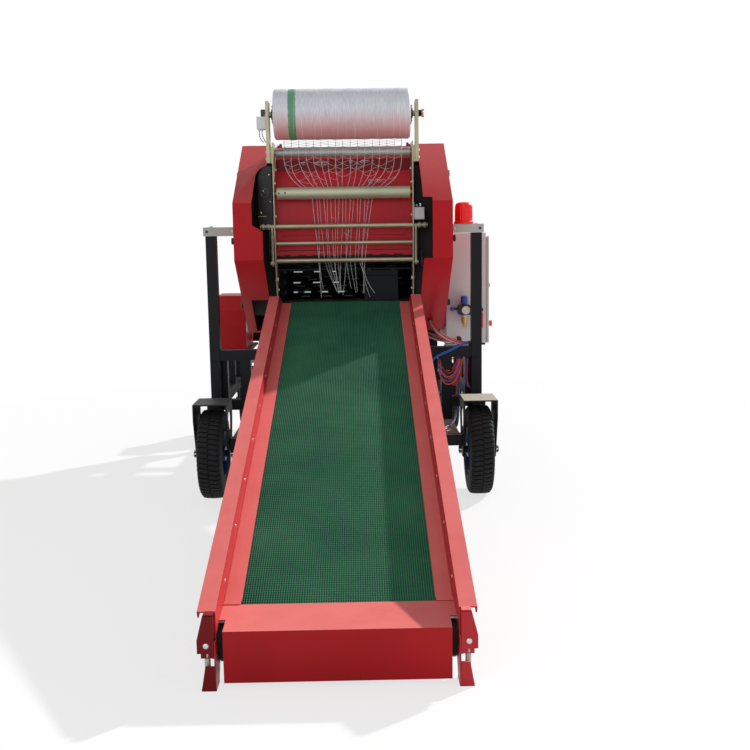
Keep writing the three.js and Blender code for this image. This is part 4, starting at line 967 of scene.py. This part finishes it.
# %% Spindle, brake valve and switch box
x0, z0 = SPOOL_HALF, SPOOL[2]
spindle = Shape(pale_zinc).turn((-279, -17, z0), RIGHT, [(0, 9.8), (1, 10.6), (564, 10.6), (566, 9.6)], 28)
spindle.use(black_plastic)
for side, out in OUTWARD:
    spindle.turn((side * (x0 - 22), -17, z0), out, [(0, 35.5), (22.5, 37.4), (22.5, 43), (25, 43), (28, 40), (28, 22),
        (33, 19), (33, 10.8), (0, 10.8)], 40, closed=True)
    for t in around(6):
        _, y, z = on_circle(0, SPOOL, 32, t)
        spindle.block(side * (x0 + 5.6), side * (x0 + 8.4), y - 2.4, y + 2.4, z - 2.4, z + 2.4)
for i in range(6):
    spindle.turn((283 + i * 1.6, -17, z0), RIGHT, [(0, 11.5), (0.8, 12.6), (1.5, 11.5)], 28)
spindle.use(copper).turn((293, -17, z0), RIGHT, [(0, 6.5), (2, 7.6), (7, 7.0), (9, 4.5)], 20)
for side in SIDES:
    spindle.slab([(296, z0 + side * 3), (303, z0 + side * 8), (303.5, z0 + side * 14), (299, z0 + side * 16),
                  (293, z0 + side * 12), (291, z0 + side * 4)], "y", -19.5, -14.5)
spindle.make("roll_spindle_dressed", "roll", 0.0004, replaces=["roll_spindle"], slot="black_paint")

brake = Shape(white_plastic).block(-314.5, -282, -39, 4, 1294, 1338)
brake.use(pale_zinc).block(-283.5, -281.4, -40, 5, 1292, 1345)
brake.use(black_plastic).block(-299, -283, -33, -1, 1337.8, 1364)
brake.turn((-291, -17, 1363), UP, [(0, 5.5), (2.4, 5.5), (2.4, 3)], 16)
brake.block(-315.4, -314, -30, -8, 1304, 1326)
for x, colour in ((-306, "red"), (-296, "blue")):
    brake.use(bright_bolt).turn((x, -26, 1294.5), -UP, [(0, 4.6), (5, 4.6), (7, 3.4)], 14)
brake.use(bright_bolt)
for y, z in ((-34, 1299), (-34, 1333)):
    brake.dome((-298, -39, z), -BACK, 2.6, 1.2)
brake.make("brake_valve", "chassis", 0.0009, replaces=["net_brake"], slot="pale_plastic")

switch = Shape(white_plastic).block(263.4, 301, -35, 12, 958, 1002)
switch.use(black_plastic).block(264.5, 300, -33, 10, 954.6, 958.4)
switch.block(268, 296, -28, 8, 1001.6, 1006)
switch.use(pale_zinc).block(261.4, 263.6, -37, 19, 960, 1019)
switch.use(bright_bolt)
for x, z in ((274, 1009), (288, 1012)):
    switch.turn((x, -8, 1005), UP, [(0, 3.6), (z - 1005, 3.6), (z - 1004, 5.0), (z - 1000, 4.2)], 6)
for x in (268, 296):
    for z in (963, 997):
        switch.dome((x, -35, z), -BACK, 2.2, 1.0)
switch.make("switch_box", "chassis", 0.0011, replaces=["sensor_box"], slot="pale_plastic")
for i, (colour, points) in enumerate((
        ("red", [(-306, -26, 1288), (-306, -26, 1274), (-304, -24, 1262), (-299, -18, 1254), (-296, -8, 1251.6),
                 (-296, 14, 1251.2)]),
        ("blue", [(-296, -26, 1288), (-296, -26, 1276), (-293, -22, 1264), (-289, -12, 1255), (-289, 0, 1251.6),
                  (-289, 20, 1251.2)]))):
    hose(f"brake_tube_{i + 1}", flow(points, 6), colour, 3.2, sides=10, slot=False)

# %% [markdown]
# ## Inside the chamber
# Through the throat the lower rear rollers show. Their slats catch the light in short staggered dashes, drawn as
# painted highlights: short bars that glow. A dark deflector hangs on a bar at the right of the throat, with one fold
# across it.

# %% Roller slats and throat deflector
# painted highlight: a pale finish that glows
slat_glints = solid_colour("glowing slat highlights", srgb(224, 232, 230), 0.5,
                        emission_color=srgb(210, 226, 224), emission_strength=0.5)
CHAMBER, RING_R, SLAT_ROWS = (0, 380, 888), 310, 7
RING = [on_circle(0, CHAMBER, RING_R, radians(a)) for a in (80, 56, 32, 8, -16, -40, -64)]
slats = Shape(arm_grey)
SLAT_LONG, SLAT_STEP, SLAT_SHIFT = 38, 94, 27
SLAT_SECTION = ((33.2, -0.07), (37.4, -0.05), (37.4, 0.05), (33.2, 0.07))      # radius and angle of its corners
for n, roller in enumerate(RING):
    for row in range(SLAT_ROWS):
        angle = pi + 2 * pi * row / SLAT_ROWS + 0.2 * n
        for k in range(5):
            x = -226 + k * SLAT_STEP + (row % 3) * SLAT_SHIFT
            slats.skin([[on_circle(x + s, roller, r, angle + t) for r, t in SLAT_SECTION] for s in (0, SLAT_LONG)])
slats.use(chamber_black).turn((-254, 655, 746), RIGHT, [(0, 9), (508, 9)], 20)
# the glowing bars below are painted highlights on the slats
slats.use(slat_glints)
for z, front, back, places in (      # four rows, each on the face of its roller or on the rod between two
        (746, 624.6, 627, ((-236, 38), (-146, 26), (-66, 16))),
        (700, 583, 587, ((-236, 30), (-150, 30), (-60, 24), (150, 20))),
        (658, 583, 606, ((-236, 16), (-188, 26), (-112, 26), (-40, 26), (160, 16))),
        (629, 487.6, 491, ((-236, 20), (-180, 28), (-104, 28), (-26, 28)))):
    for x, long in places:
        slats.block(x, x + long, front, back, z - 2.2, z + 2.2)
slats.use(chamber_black).block(-254, 254, 626.2, 632, 739, 753)
slats.make("roller_slats", "tailgate_swing")
throat = Shape(frame_black).turn((-261, 68, 773), RIGHT, [(0, 6), (522, 6)], 20)
throat.use(dark_blue).slab([(59, 650), (61.6, 650), (61.6, 745), (64.6, 748), (64.6, 768), (62, 768), (62, 749),
    (59, 746)], "x", 73, 204)
throat.use(frame_black)
for x in (92, 185):
    throat.block(x - 7, x + 7, 61.5, 68, 762, 778)
throat.make("throat_deflector", "chassis", 0.0006)
print("rear rollers carry", len(RING) * SLAT_ROWS * 5, "slats")

# %% [markdown]
# ## Covers
# The side covers come off for greasing the chains. Each has black plastic clamping knobs on its outer face, rivets
# along its return, and a black sheet behind it as painted shade over the drive. The guard is bolted on over the
# sprocket.

# %% Knobs, rivets and chain guard
trim = Shape(black_plastic)
for side, out in OUTWARD:
    for y, z in ((-170, 886), (60, 640), (60, 1130)):
        at = (side * 390, y, z)
        trim.turn(at, out, [(0, 7), (4, 6), (6, 10), (8, 11.5), (13, 11.5), (14.5, 9)], 24)
        for t in around(6):
            trim.turn(on_circle(side * 396.5, at, 11, t), out, [(0, 2.4), (6.5, 2.4), (7.5, 1.4)], 10)
    trim.use(bright_bolt)
    for z in (1238, 536):
        for y in (240, 300, 360):
            trim.dome((side * 272.5, y, z), out, 3.4, 1.8)
    trim.use(cover_red)
    for y, low, high in ((-150, 830, 1010), (250, 560, 1215)):
        trim.slab([(y - 9, low), (y - 5, low + 6), (y - 5, high - 6), (y - 9, high)], "x", side * 389.6, side * 390.4)
    trim.use(black_plastic)
trim.use(seal_rubber)
trim.block(267.5, 386, 24, 26, 640, 1160)          # black sheets inside the covers, painted shade over the drives
trim.block(-386, -267.5, 62.2, 64, 600, 1180)
trim.make("cover_fittings", "chassis", 0.0004)

guard = Shape(bright_bolt)
for x, z, r in ((-302, 1071, 4.5), (-309, 1056, 4.5), (-276, 1030, 4.0), (-312, 990, 4.0), (-278, 1130, 4.0)):
    guard.dome((x, 0, z), -BACK, r, r * 0.6)
guard.use(black_plastic).turn((-297, 0, 1062), -BACK, [(0, 21), (2.6, 21), (3.6, 19), (3.6, 12), (1.6, 11), (1.6, 7),
    (5, 6.4), (6, 4)], 36)
guard.use(pale_zinc).block(-322, -290, -2.0, -0.1, 975, 977.4)
guard.make("guard_bolts", "chassis", 0.0003)

# %% [markdown]
# ## The conveyor's foot
# Two feet carry the low end. Each is a bent bracket on three bolts, a threaded screw for height and a flared shoe.
# The screw's thread is turned as rings close together, which reads as a thread at any sensible distance.

# %% Bolts, screws and seams of the conveyor
FACE = -1880.1             # the brackets' front, which is the machine's front end


def foot_leg(word, side, red):
    """Bracket, screw and shoe of one foot, with the bracket's plate set back by the height of its bolt heads."""
    leg = Shape(red)

    def flip(outline):
        return [(side * x, z) for x, z in outline]

    leg.slab(flip([(246.4, 78), (280, 78), (280, 106), (267, 157), (246.4, 157)]), "y", FACE + 3, FACE + 7)
    leg.block(side * 246.4, side * 250.4, FACE + 6, FACE + 80, 66, 150)
    leg.block(side * 250, side * 273, FACE + 6, FACE + 24, 67, 78)
    leg.slab(flip([(243.4, 0.4), (273, 0.4), (264, 52), (246.4, 52)]), "y", FACE, FACE + 5)
    leg.skin([[(side * x, y, z) for y, z in ((FACE + 3, 155), (FACE + 26, 158.4), (FACE + 26, 160.6),
        (FACE + 3, 159))] for x in (246.4, 266)])
    leg.use(conveyor_red).slab([(FACE + 1, 0.2), (FACE + 44, 0.2), (FACE + 96, 100), (FACE + 5, 100)], "x",
        side * 243.3, side * 246.3)
    leg.block(side * 243, side * 273, FACE + 2, FACE + 45, 0, 5)
    leg.use(bright_bolt).dome((side * 262, FACE + 3, 94), -BACK, 6.0, 2.7)
    for back, z in ((36, 100), (58, 124)):
        leg.bolt((side * 250.3, FACE + back, z), side * RIGHT, 7.0, 6.0)
    leg.use(silver_zinc).turn((side * 261, FACE + 14, 61), UP, [(8, 8.4), (9, 9.2), (15, 9.2), (16, 8.4)], 6)
    profile = [(i * 1.1, 6.2 if i % 2 else 5.5) for i in range(64)]
    leg.turn((side * 261, FACE + 14, 4.6), UP, profile, 18)
    leg.make(f"foot_{word}", "conveyor", 0.0005, replaces=[f"conveyor_leg_{word}"], slot="red_paint")


# the left foot's bracket is painted in the shade red, as its front lies in shade; the right one is plain conveyor red
for word, side, red in (("left", -1, painted_shade_red), ("right", 1, conveyor_red)):
    foot_leg(word, side, red)
lines = Shape(seal_rubber, on_belt)
for side in SIDES:        # rubber cheeks close the slits beside the tail cover
    lines.skin([[(side * x, a, b) for a, b in ((-1925, -14), (-1925, 46), (-1884, 46), (-1884, -34),
        (-1908, -34))] for x in (229.4, 242.6)])
lines.use(conveyor_red)
for side in SIDES:        # the lapped seam between skirt and tail cover
    lines.block(side * 206, side * 242.6, -1829, -1814, 47.8, 49.2)
for side, out in OUTWARD:        # rolled hem on the flange's outer edge, and the weld where the skirt meets the wall
    lines.tube([(side * 278.6, -1922, 91.6), (side * 278.6, -97, 91.6)], 1.9, 8)
    lines.tube([(side * 241.8, -1815, 48.6), (side * 241.8, -14, 48.6)], 1.6, 6)
    lines.use(bright_bolt)
    for along in range(-1780, -100, 210):
        lines.dome((side * 246.0, along, 74), out, 4.6, 2.6)
        lines.dome((side * 243.0, along, 74), -out, 4.2, 1.6)
    lines.turn((side * 258.2, 0, 0), out, [(0, 11), (2, 11), (2.2, 9), (7, 9), (8, 7)], 6)
    lines.use(conveyor_red)
lines.make("conveyor_hems", "conveyor")

# %% [markdown]
# ## Control cabinet
# The electrical cabinet is a folded steel box with a door on its outer side. The door is two skins with a rubber
# seal pressed between them, so its edge shows a groove. It has barrel hinges, a quarter-turn lock and a red handle.

# %% Cabinet door and handle
door = Shape(cabinet_grey)
door.skin([[(x, 130 + e, 471 + e), (x, 430 - e, 471 + e), (x, 430 - e, 891 - e), (x, 130 + e, 891 - e)]
           for x, e in ((552.4, 2.0), (552.6, 0.6), (556.0, 0.6), (556.2, 3.2), (558.4, 3.2), (558.6, 0.0),
                        (564.6, 0.0), (565.8, 1.2))])
door.use(seal_rubber).skin([[(x, 132.4, 473.4), (x, 427.6, 473.4), (x, 427.6, 888.6),
    (x, 132.4, 888.6)] for x in (556.3, 558.3)])
door.use(knob_orange).turn((565.4, 164, 546), RIGHT, [(0, 13), (2, 13), (3, 10), (9, 9.4), (10, 12.4), (14.6, 12.8),
    (15.8, 11)], 32)
door.block(566, 581.6, 160, 168, 536, 556)
door.use(black_plastic).turn((565.4, 152, 700), RIGHT, [(0, 11), (2.4, 11), (3.2, 9.6), (5, 8)], 28)
door.block(566, 571, 149.6, 154.4, 694, 706)
door.use(white_plastic).block(565.4, 566.6, 190, 250, 800, 840)
door.use(bright_bolt)
for y, z in ((200, 806), (240, 806), (200, 834), (240, 834)):
    door.dome((566.4, y, z), RIGHT, 2.0, 0.9)
door.make("cabinet_door_dressed", "door", 0.0005, replaces=["cabinet_door"], slot="pale_grey_paint")

box = Shape(bright_bolt)
for z in (540, 822):        # barrel hinges at the rear edge, on the fixed side
    box.turn((552.2, 434.6, z - 22), UP, [(0, 4.2), (20, 4.2), (20.4, 3.4), (23.6, 3.4), (24, 4.2), (44, 4.2)], 16)
    box.block(540, 552, 430.2, 433, z - 20, z + 20)
for x in (402, 546):
    for z in (479, 883):
        box.dome((x, 129.8, z), -BACK, 3.2, 1.6)
box.use(knob_orange).slab([(529.6, 532), (541, 532), (541.4, 590), (536, 597), (530.6, 597)], "y", 121, 129.6)
box.use(black_plastic).block(529, 541.5, 122, 129.8, 598, 610)
box.block(533, 538, 112, 122, 601, 607)
for x in (420, 446, 472, 498):     # cable glands under the box, of which two have hexagon nuts
    box.turn((x, 300, 471), -UP, [(0, 11), (6, 11), (6, 9), (12, 9), (14, 6.5), (20, 5)], 6 if x % 4 else 20)
box.use(cabinet_grey).skin([[(x, y, z) for y, z in ((127, 884), (129.6, 884), (129.6, 891.2), (430, 891.2),
    (430, 888), (433, 888), (433, 897), (129, 905), (127, 904))] for x in (396.4, 552)])
box.make("cabinet_fittings", "chassis", 0.0005, slot="pale_grey_paint")

# %% [markdown]
# ## Beacon and air supply
# The beacon is a red polycarbonate dome with moulded ribs inside that scatter the lamp; it stands on a flange. The
# filter regulator has a blue knob that is fluted for grip, a black body, a round gauge, a brass bowl and a blue tap.

# %% Beacon


def fluted(at, above, radius, flutes, deep, sides):
    """A level ring above a point, whose radius swells and shrinks once for each flute."""
    reach = [(radius + deep * cos(flutes * t), t) for t in around(sides)]
    return [(at[0] + r * cos(t), at[1] + r * sin(t), at[2] + above) for r, t in reach]


lens = Shape(beacon_red)
BEACON, FLUTES, FLUTE_DEEP = (441, -100, 937.5), 24, 0.75
DOME = [(0, 35.6), (2, 36), (7, 36), (8.6, 34), (10, 32.4), (24, 32.2), (44, 32.0), (60, 31.6), (68, 30.6),
        (73, 28.0), (76, 24.0), (78, 17.0), (79.0, 8.0), (79.2, 1.0)]
lens.skin([fluted(BEACON, above, r, FLUTES, FLUTE_DEEP if 10 <= above <= 66 else 0.0, 120) for above, r in DOME])
lens.use(black_plastic).turn((441, -100, 937.35), UP, [(0, 35), (1.2, 35)], 40)
lens.make("beacon_lens", "chassis", replaces=["alarm_beacon"], slot="beacon_red")

# %% Filter regulator


def dial():
    finish = Finish("gauge dial")
    where = finish.place()
    across = finish.axis(where, "X") - (MIDDLE + 0.468)
    upward = finish.axis(where, "Z") - 0.606
    radius = upward.maths("SQRT", across * across + upward * upward)
    angle = upward.maths("ARCTAN2", upward, across)
    ticks = ((angle * 14.0).sine()).step(0.80, 0.92) * radius.step(0.0096, 0.0100) * (1 - radius.step(0.0124, 0.0128))
    hand = (1 - ((upward * 0.8 - across * 0.6).size()).step(0.0004, 0.0007)) * (1 - radius.step(0.0088, 0.0092))
    band = radius.step(0.0100, 0.0103) * (1 - radius.step(0.0113, 0.0116))
    face = finish.mix(band * angle.step(-0.4, -0.3) * (1 - angle.step(0.5, 0.6)), srgb(236, 236, 232),
        srgb(204, 50, 46))
    return finish.surface(base_color=finish.mix(ticks.maths("MAXIMUM", ticks, hand), face, srgb(24, 24, 26)),
        roughness=0.2 + 0.05 * finish.noise(where, 40.0))


BOWL_X, BOWL_Y = 464, 101.7      # the regulator's upright axis
air = Shape(black_plastic)
air.slab([(440, 590), (443, 587), (485, 587), (488, 590), (488, 622), (485, 625), (443, 625), (440, 622)], "y", 80.5,
         124)
air.block(448, 480, 123, 129.6, 594, 618)
air.turn((437.6, BOWL_Y, 610), RIGHT, [(0, 9), (3, 9)], 6)
air.turn((487.6, BOWL_Y, 610), RIGHT, [(0, 7), (2.4, 7)], 6)
KNOB = ((0, 12.4), (1, 13.2), (26, 13.2), (29, 11.6), (29.6, 9))      # height and radius of its rings
air.turn((BOWL_X, BOWL_Y, 624.6), UP, [(0, 11), (6, 11)], 28)
air.use(knob_blue).skin([fluted((BOWL_X, BOWL_Y, 630), above, r, 16, 0.5, 96) for above, r in KNOB])
air.turn((408.6, BOWL_Y, 610), RIGHT, [(0, 5.0), (1, 6.6), (9, 7.4), (11, 7.4), (12, 5.6), (16, 5.6)], 24)
air.use(black_plastic).turn((424, BOWL_Y, 610), RIGHT, [(0, 5.4), (14, 5.4)], 20)
air.use(brass).turn((BOWL_X, BOWL_Y, 587.4), -UP, [(0, 12.8), (3, 12.8), (4, 11.6), (30, 11.2), (38, 9.0), (42, 5),
    (44, 4.6), (50, 4.2)], 32)
air.use(white_plastic).turn((BOWL_X, BOWL_Y, 583), -UP, [(0, 12.9), (4, 12.9)], 32)
air.use(bright_bolt).turn((468, 80.6, 606), -BACK, [(0, 6), (2, 6), (2, 15.6), (9, 16.4), (10.6, 16.4), (10.6, 14.4),
    (9.2, 14.2)], 40)
air.use(dial()).turn((468, 71.6, 606), -BACK, [(0, 14.4), (0.4, 14.3)], 40)
air.make("filter_regulator", "chassis", 0.0004, replaces=["air_regulator"], slot="regulator_blue")

# %% [markdown]
# ## Valve block
# Five solenoid valves stand side by side on one alloy manifold. Hoses push into collared fittings, and a domed
# junction on top gathers the bundle from the chamber.

# %% Valves and hose fittings
valves = Shape(cast_alloy).block(372.4, 443.6, -79.4, -28.4, 452, 485.6)
for i in range(5):
    x = 374 + i * 14
    valves.use(white_plastic).block(x, x + 12.4, -76, -60, 440.6, 453)
    valves.use(black_plastic).block(x + 1, x + 11.4, -79.6, -62, 455, 482)
    valves.use(bright_bolt).dome((x + 6.2, -79.5, 478), -BACK, 1.8, 0.8)
valves.use(bright_bolt)
for x, y in ((428, -46), (428, -53), (428, -39), (434, -44), (388, -46), (388, -39), (388, -53), (382, -44),
             (422, -71), (416, -71)):
    valves.turn((x, y, 452), -UP, [(0, 3.9), (9, 3.9), (9.6, 3.3), (12.2, 3.3)], 14)
valves.use(black_plastic).turn((428, -55, 485.5), UP, [(0, 9.6), (3, 9.6), (4, 10.6), (26, 10.6), (30, 9.4),
    (32.4, 6), (33, 2)], 28)
valves.make("valve_manifold", "chassis", 0.0005, replaces=["valve_block"], slot="cast_alloy")
entry = Shape(black_plastic)
for line, _ in supply:
    entry.turn(line[0] - 0.4 * RIGHT, RIGHT, [(0, 4.6), (4, 4.6), (5, 3.9), (9, 3.7)], 14)
entry.make("hose_entries", "chassis")
end = Shape(black_plastic)
for line, wide in free:
    for at, inner in (line[:2], line[:-3:-1]):
        way = (inner - at).normalized()
        end.turn(at - way * 0.3, way, [(0, wide * 0.78), (4, wide * 0.78), (5, wide * 0.66), (8, wide * 0.6)], 12)
for line, _ in gate:
    end.turn(line[-1], line[-1] - line[-2], [(-9, 3.6), (-2, 4.4), (3, 4.4), (3.4, 3)], 14)
end.use(frame_black).block(236.5, 241.5, -397, -382, 212.4, 226)
end.make("gate_hose_ends", "chassis")

# %% [markdown]
# ## Motor guard, tailgate and frame
# The back and sides get the same care as the front. The guard has pressed louvres and quarter-turn screws. The
# tailgate is stiffened by folded ribs and has a pair of grab handles. The tubes get end caps, weld beads and bolts.

# %% Louvres, ribs and handles
vents = Shape(cover_red)
for k in range(7):
    z = 500 + k * 17
    vents.slab([(-545.2, z), (-549.4, z + 1.5), (-548.6, z + 3.2), (-545.2, z + 10)], "y", 350, 470)
for y in (330, 520):
    for z in (470, 630):
        vents.use(bright_bolt).dome((-545, y, z), -RIGHT, 5.0, 2.4)
vents.use(black_plastic).turn((-482, 560, 470), BACK, [(0, 14), (3, 14), (6, 11), (14, 9)], 20)
vents.make("motor_guard_louvres", "chassis", 0.0005)

ribs = Shape(cover_red)
OUT = [(470, 1238.0), (580, 1238.0), (730, 1088.0), (730, 688.0), (580, 538.0), (470, 538.0)]


def fold_rib(x, wide, proud):
    """A folded rib that follows the tailgate's back."""
    out, inner = [], []
    for y, z in OUT:
        at_back, away = y > 700, 1 if z > 888 else -1
        out.append((y + (proud if at_back else proud * 0.41 if y > 500 else 0),
                    z + (0 if 700 < z < 1080 else proud * (0.41 if at_back else 1) * away)))
        inner.insert(0, (y - (0.5 if at_back else 0.2), z - 0.5 * away * (abs(z - 888) > 320)))
    ribs.slab(out + inner, "x", x - wide / 2, x + wide / 2)


for x in (-300, -110, 110, 300):
    fold_rib(x, 26, 9)
ribs.use(black_plastic)
for x in (-200, 200):
    ribs.tube(flow([(x, 729, 930), (x, 752, 934), (x, 764, 946), (x, 764, 1010), (x, 752, 1022), (x, 729, 1026)], 6),
              6.0, 14)
    for z in (930, 1026):
        ribs.turn((x, 729.5, z), BACK, [(0, 13), (3, 13), (4, 10)], 20)
ribs.use(bright_bolt)
for x in (-372, -230, 230, 372):
    for z in (720, 888, 1056):
        ribs.dome((x, 730, z), BACK, 5.0, 2.6)
for side, out in OUTWARD:
    ribs.bolt((side * 274.2, 400, 1266), out, 8.5, 5)
    ribs.turn((side * 390, 620, 888), out, [(0, 12), (3, 12), (4, 10), (12, 9), (13, 7)], 24)
ribs.make("tailgate_ribs", "tailgate_swing", 0.0008)

# %% Caps, welds and bolts of the frame


def bead(shape, a, b, size=2.6):
    """A weld: a bead with the ripples that a torch leaves."""
    a, b = Vector(a), Vector(b)
    steps = max(6, int((b - a).length / 3.0))
    shape.tube([a.lerp(b, i / steps) for i in range(steps + 1)],
               lambda s: size * (0.86 + 0.14 * sin(s * steps * 2.4)), 6)


welds = Shape(frame_black)
for side in SIDES:
    for z in (299.3, 446.6):
        for y in (-80.6, -119.4):
            bead(welds, (side * 468, y, z), (side * 506, y, z))
    for y in (-80.4, -119.6, 565.4):
        bead(welds, (side * 355, y, 212.6), (side * 395, y, 212.6))
    for z in (259.4, 299.0):
        bead(welds, (side * 467.4, -119, z), (side * 467.4, -81, z))
    bead(welds, (side * 275, -100, 446.4), (side * 466, -100, 446.4), 1.8)
    for y in AXLES:
        bead(welds, (side * 402.6, y - 20, 212.4), (side * 402.6, y + 20, 212.4))
    welds.block(side * 468.6, side * 505.4, -118.4, -81.6, 904.6, 904.95)
    for y in AXLES:
        welds.block(side * 355.4, side * 394.6, y, y + (-1.6 if y < 0 else 1.6), 172.6, 211.4)
welds.use(bright_bolt)
for side, out in OUTWARD:
    for y in AXLES:
        welds.turn((side * 519.2, y, TYRE_R), out, [(0, 17.5), (2.4, 17.5)], 28)
        welds.bolt((side * 520.2, y, TYRE_R), out, 13.6, 9.4)
        welds.turn((side * 528.6, y, TYRE_R), out, [(0, 7.2), (2.4, 7.2), (3.2, 6.2)], 18)
        welds.bolt((side * 402.8, y, TYRE_R), -out, 13.6, 10)
    # a flat black disc on each arm's front, painted shade where its hole is
    welds.use(black_plastic).turn((side * 498, -130.0, 921), -BACK, [(0, 5.4), (0.25, 5.4)], 24)
    welds.use(bright_bolt)
    welds.bolt((side * 487, -100, 936.8), UP, 6.0, 5.0)
    welds.dome((side * 405, -130, 921), -BACK, 4.2, 2.0)
welds.make("frame_fittings", "chassis", 0.0003)

# %% [markdown]
# ## Floor and light
# A pale floor that keeps the machine's soft shadow and fades to white, an even white sky, and one low sun from the
# right and behind, wide enough to be soft. The front faces are lit by the sky and a large soft panel.

# %% Floor, sky and lamps


def stage_floor():
    mesh = bpy.data.meshes.new("floor")
    mesh.from_pydata([(-30, -30, 0), (30, -30, 0), (30, 30, 0), (-30, 30, 0)], [], [(0, 1, 2, 3)])
    floor = bpy.data.objects.new("floor", mesh)
    floor.location.z = -0.0004
    bpy.context.scene.collection.objects.link(floor)
    finish = Finish("pale floor")
    finish.surface(base_color=(0.86, 0.86, 0.86, 1.0), roughness=0.9)
    glow = finish.node("ShaderNodeEmission", {}, {"Color": (1, 1, 1, 1), "Strength": 1.0})
    rays = finish.node("ShaderNodeLightPath")
    seen = finish.node("ShaderNodeLightPath", out="Is Glossy Ray") + Wire(finish, rays.socket)
    where = finish.place()
    away = finish.node("ShaderNodeVectorMath", {"operation": "LENGTH"}, {0: where}, out="Value")
    share = seen.maths("MAXIMUM", seen.maths("MULTIPLY", seen, 0.72, clamp=True), away.step(1.7, 3.2))
    blend = finish.node("ShaderNodeMixShader", {}, {0: share, 1: Wire(finish, finish.shader.outputs[0]), 2: glow})
    finish.tree.links.new(blend.socket, finish.tree.nodes["Material Output"].inputs["Surface"])
    mesh.materials.append(finish.material)


def sky(strength):
    world = bpy.data.worlds.new("sky")
    bpy.context.scene.world = world
    world.use_nodes = True
    tree = world.node_tree
    tree.nodes.clear()
    rays, seen, white, light, blend, end = (tree.nodes.new(kind) for kind in (
        "ShaderNodeLightPath", "ShaderNodeMath", "ShaderNodeBackground", "ShaderNodeBackground",
        "ShaderNodeMixShader", "ShaderNodeOutputWorld"))
    seen.operation, seen.use_clamp = "ADD", True
    light.inputs["Strength"].default_value = strength
    light.inputs["Color"].default_value = white.inputs["Color"].default_value = (1, 1, 1, 1)
    for a, b in ((rays.outputs["Is Camera Ray"], seen.inputs[0]), (rays.outputs["Is Glossy Ray"], seen.inputs[1]),
                 (seen.outputs[0], blend.inputs[0]),
                 (light.outputs[0], blend.inputs[1]), (white.outputs[0], blend.inputs[2]),
                         (blend.outputs[0], end.inputs[0])):
        tree.links.new(a, b)


def lamp(name, kind, at, towards, energy, **settings):
    data = bpy.data.lights.new(name, kind)
    data.energy = energy
    for key, value in settings.items():
        setattr(data, key, value)
    made = bpy.data.objects.new(name, data)
    made.location = at
    made.rotation_euler = (Vector(towards) - Vector(at)).to_track_quat("-Z", "Y").to_euler()
    bpy.context.scene.collection.objects.link(made)


stage_floor()
sky(0.35)
lamp("low sun", "SUN", (4.36, 3.82, 3.53), (0, 0, 0.3), 4.5, angle=radians(2))
lamp("soft panel", "AREA", (-1.6, -4.6, 2.6), (0, 0, 0.7), 34, shape="RECTANGLE", size=3.0, size_y=2.0)
bpy.context.scene.view_settings.view_transform = "Standard"
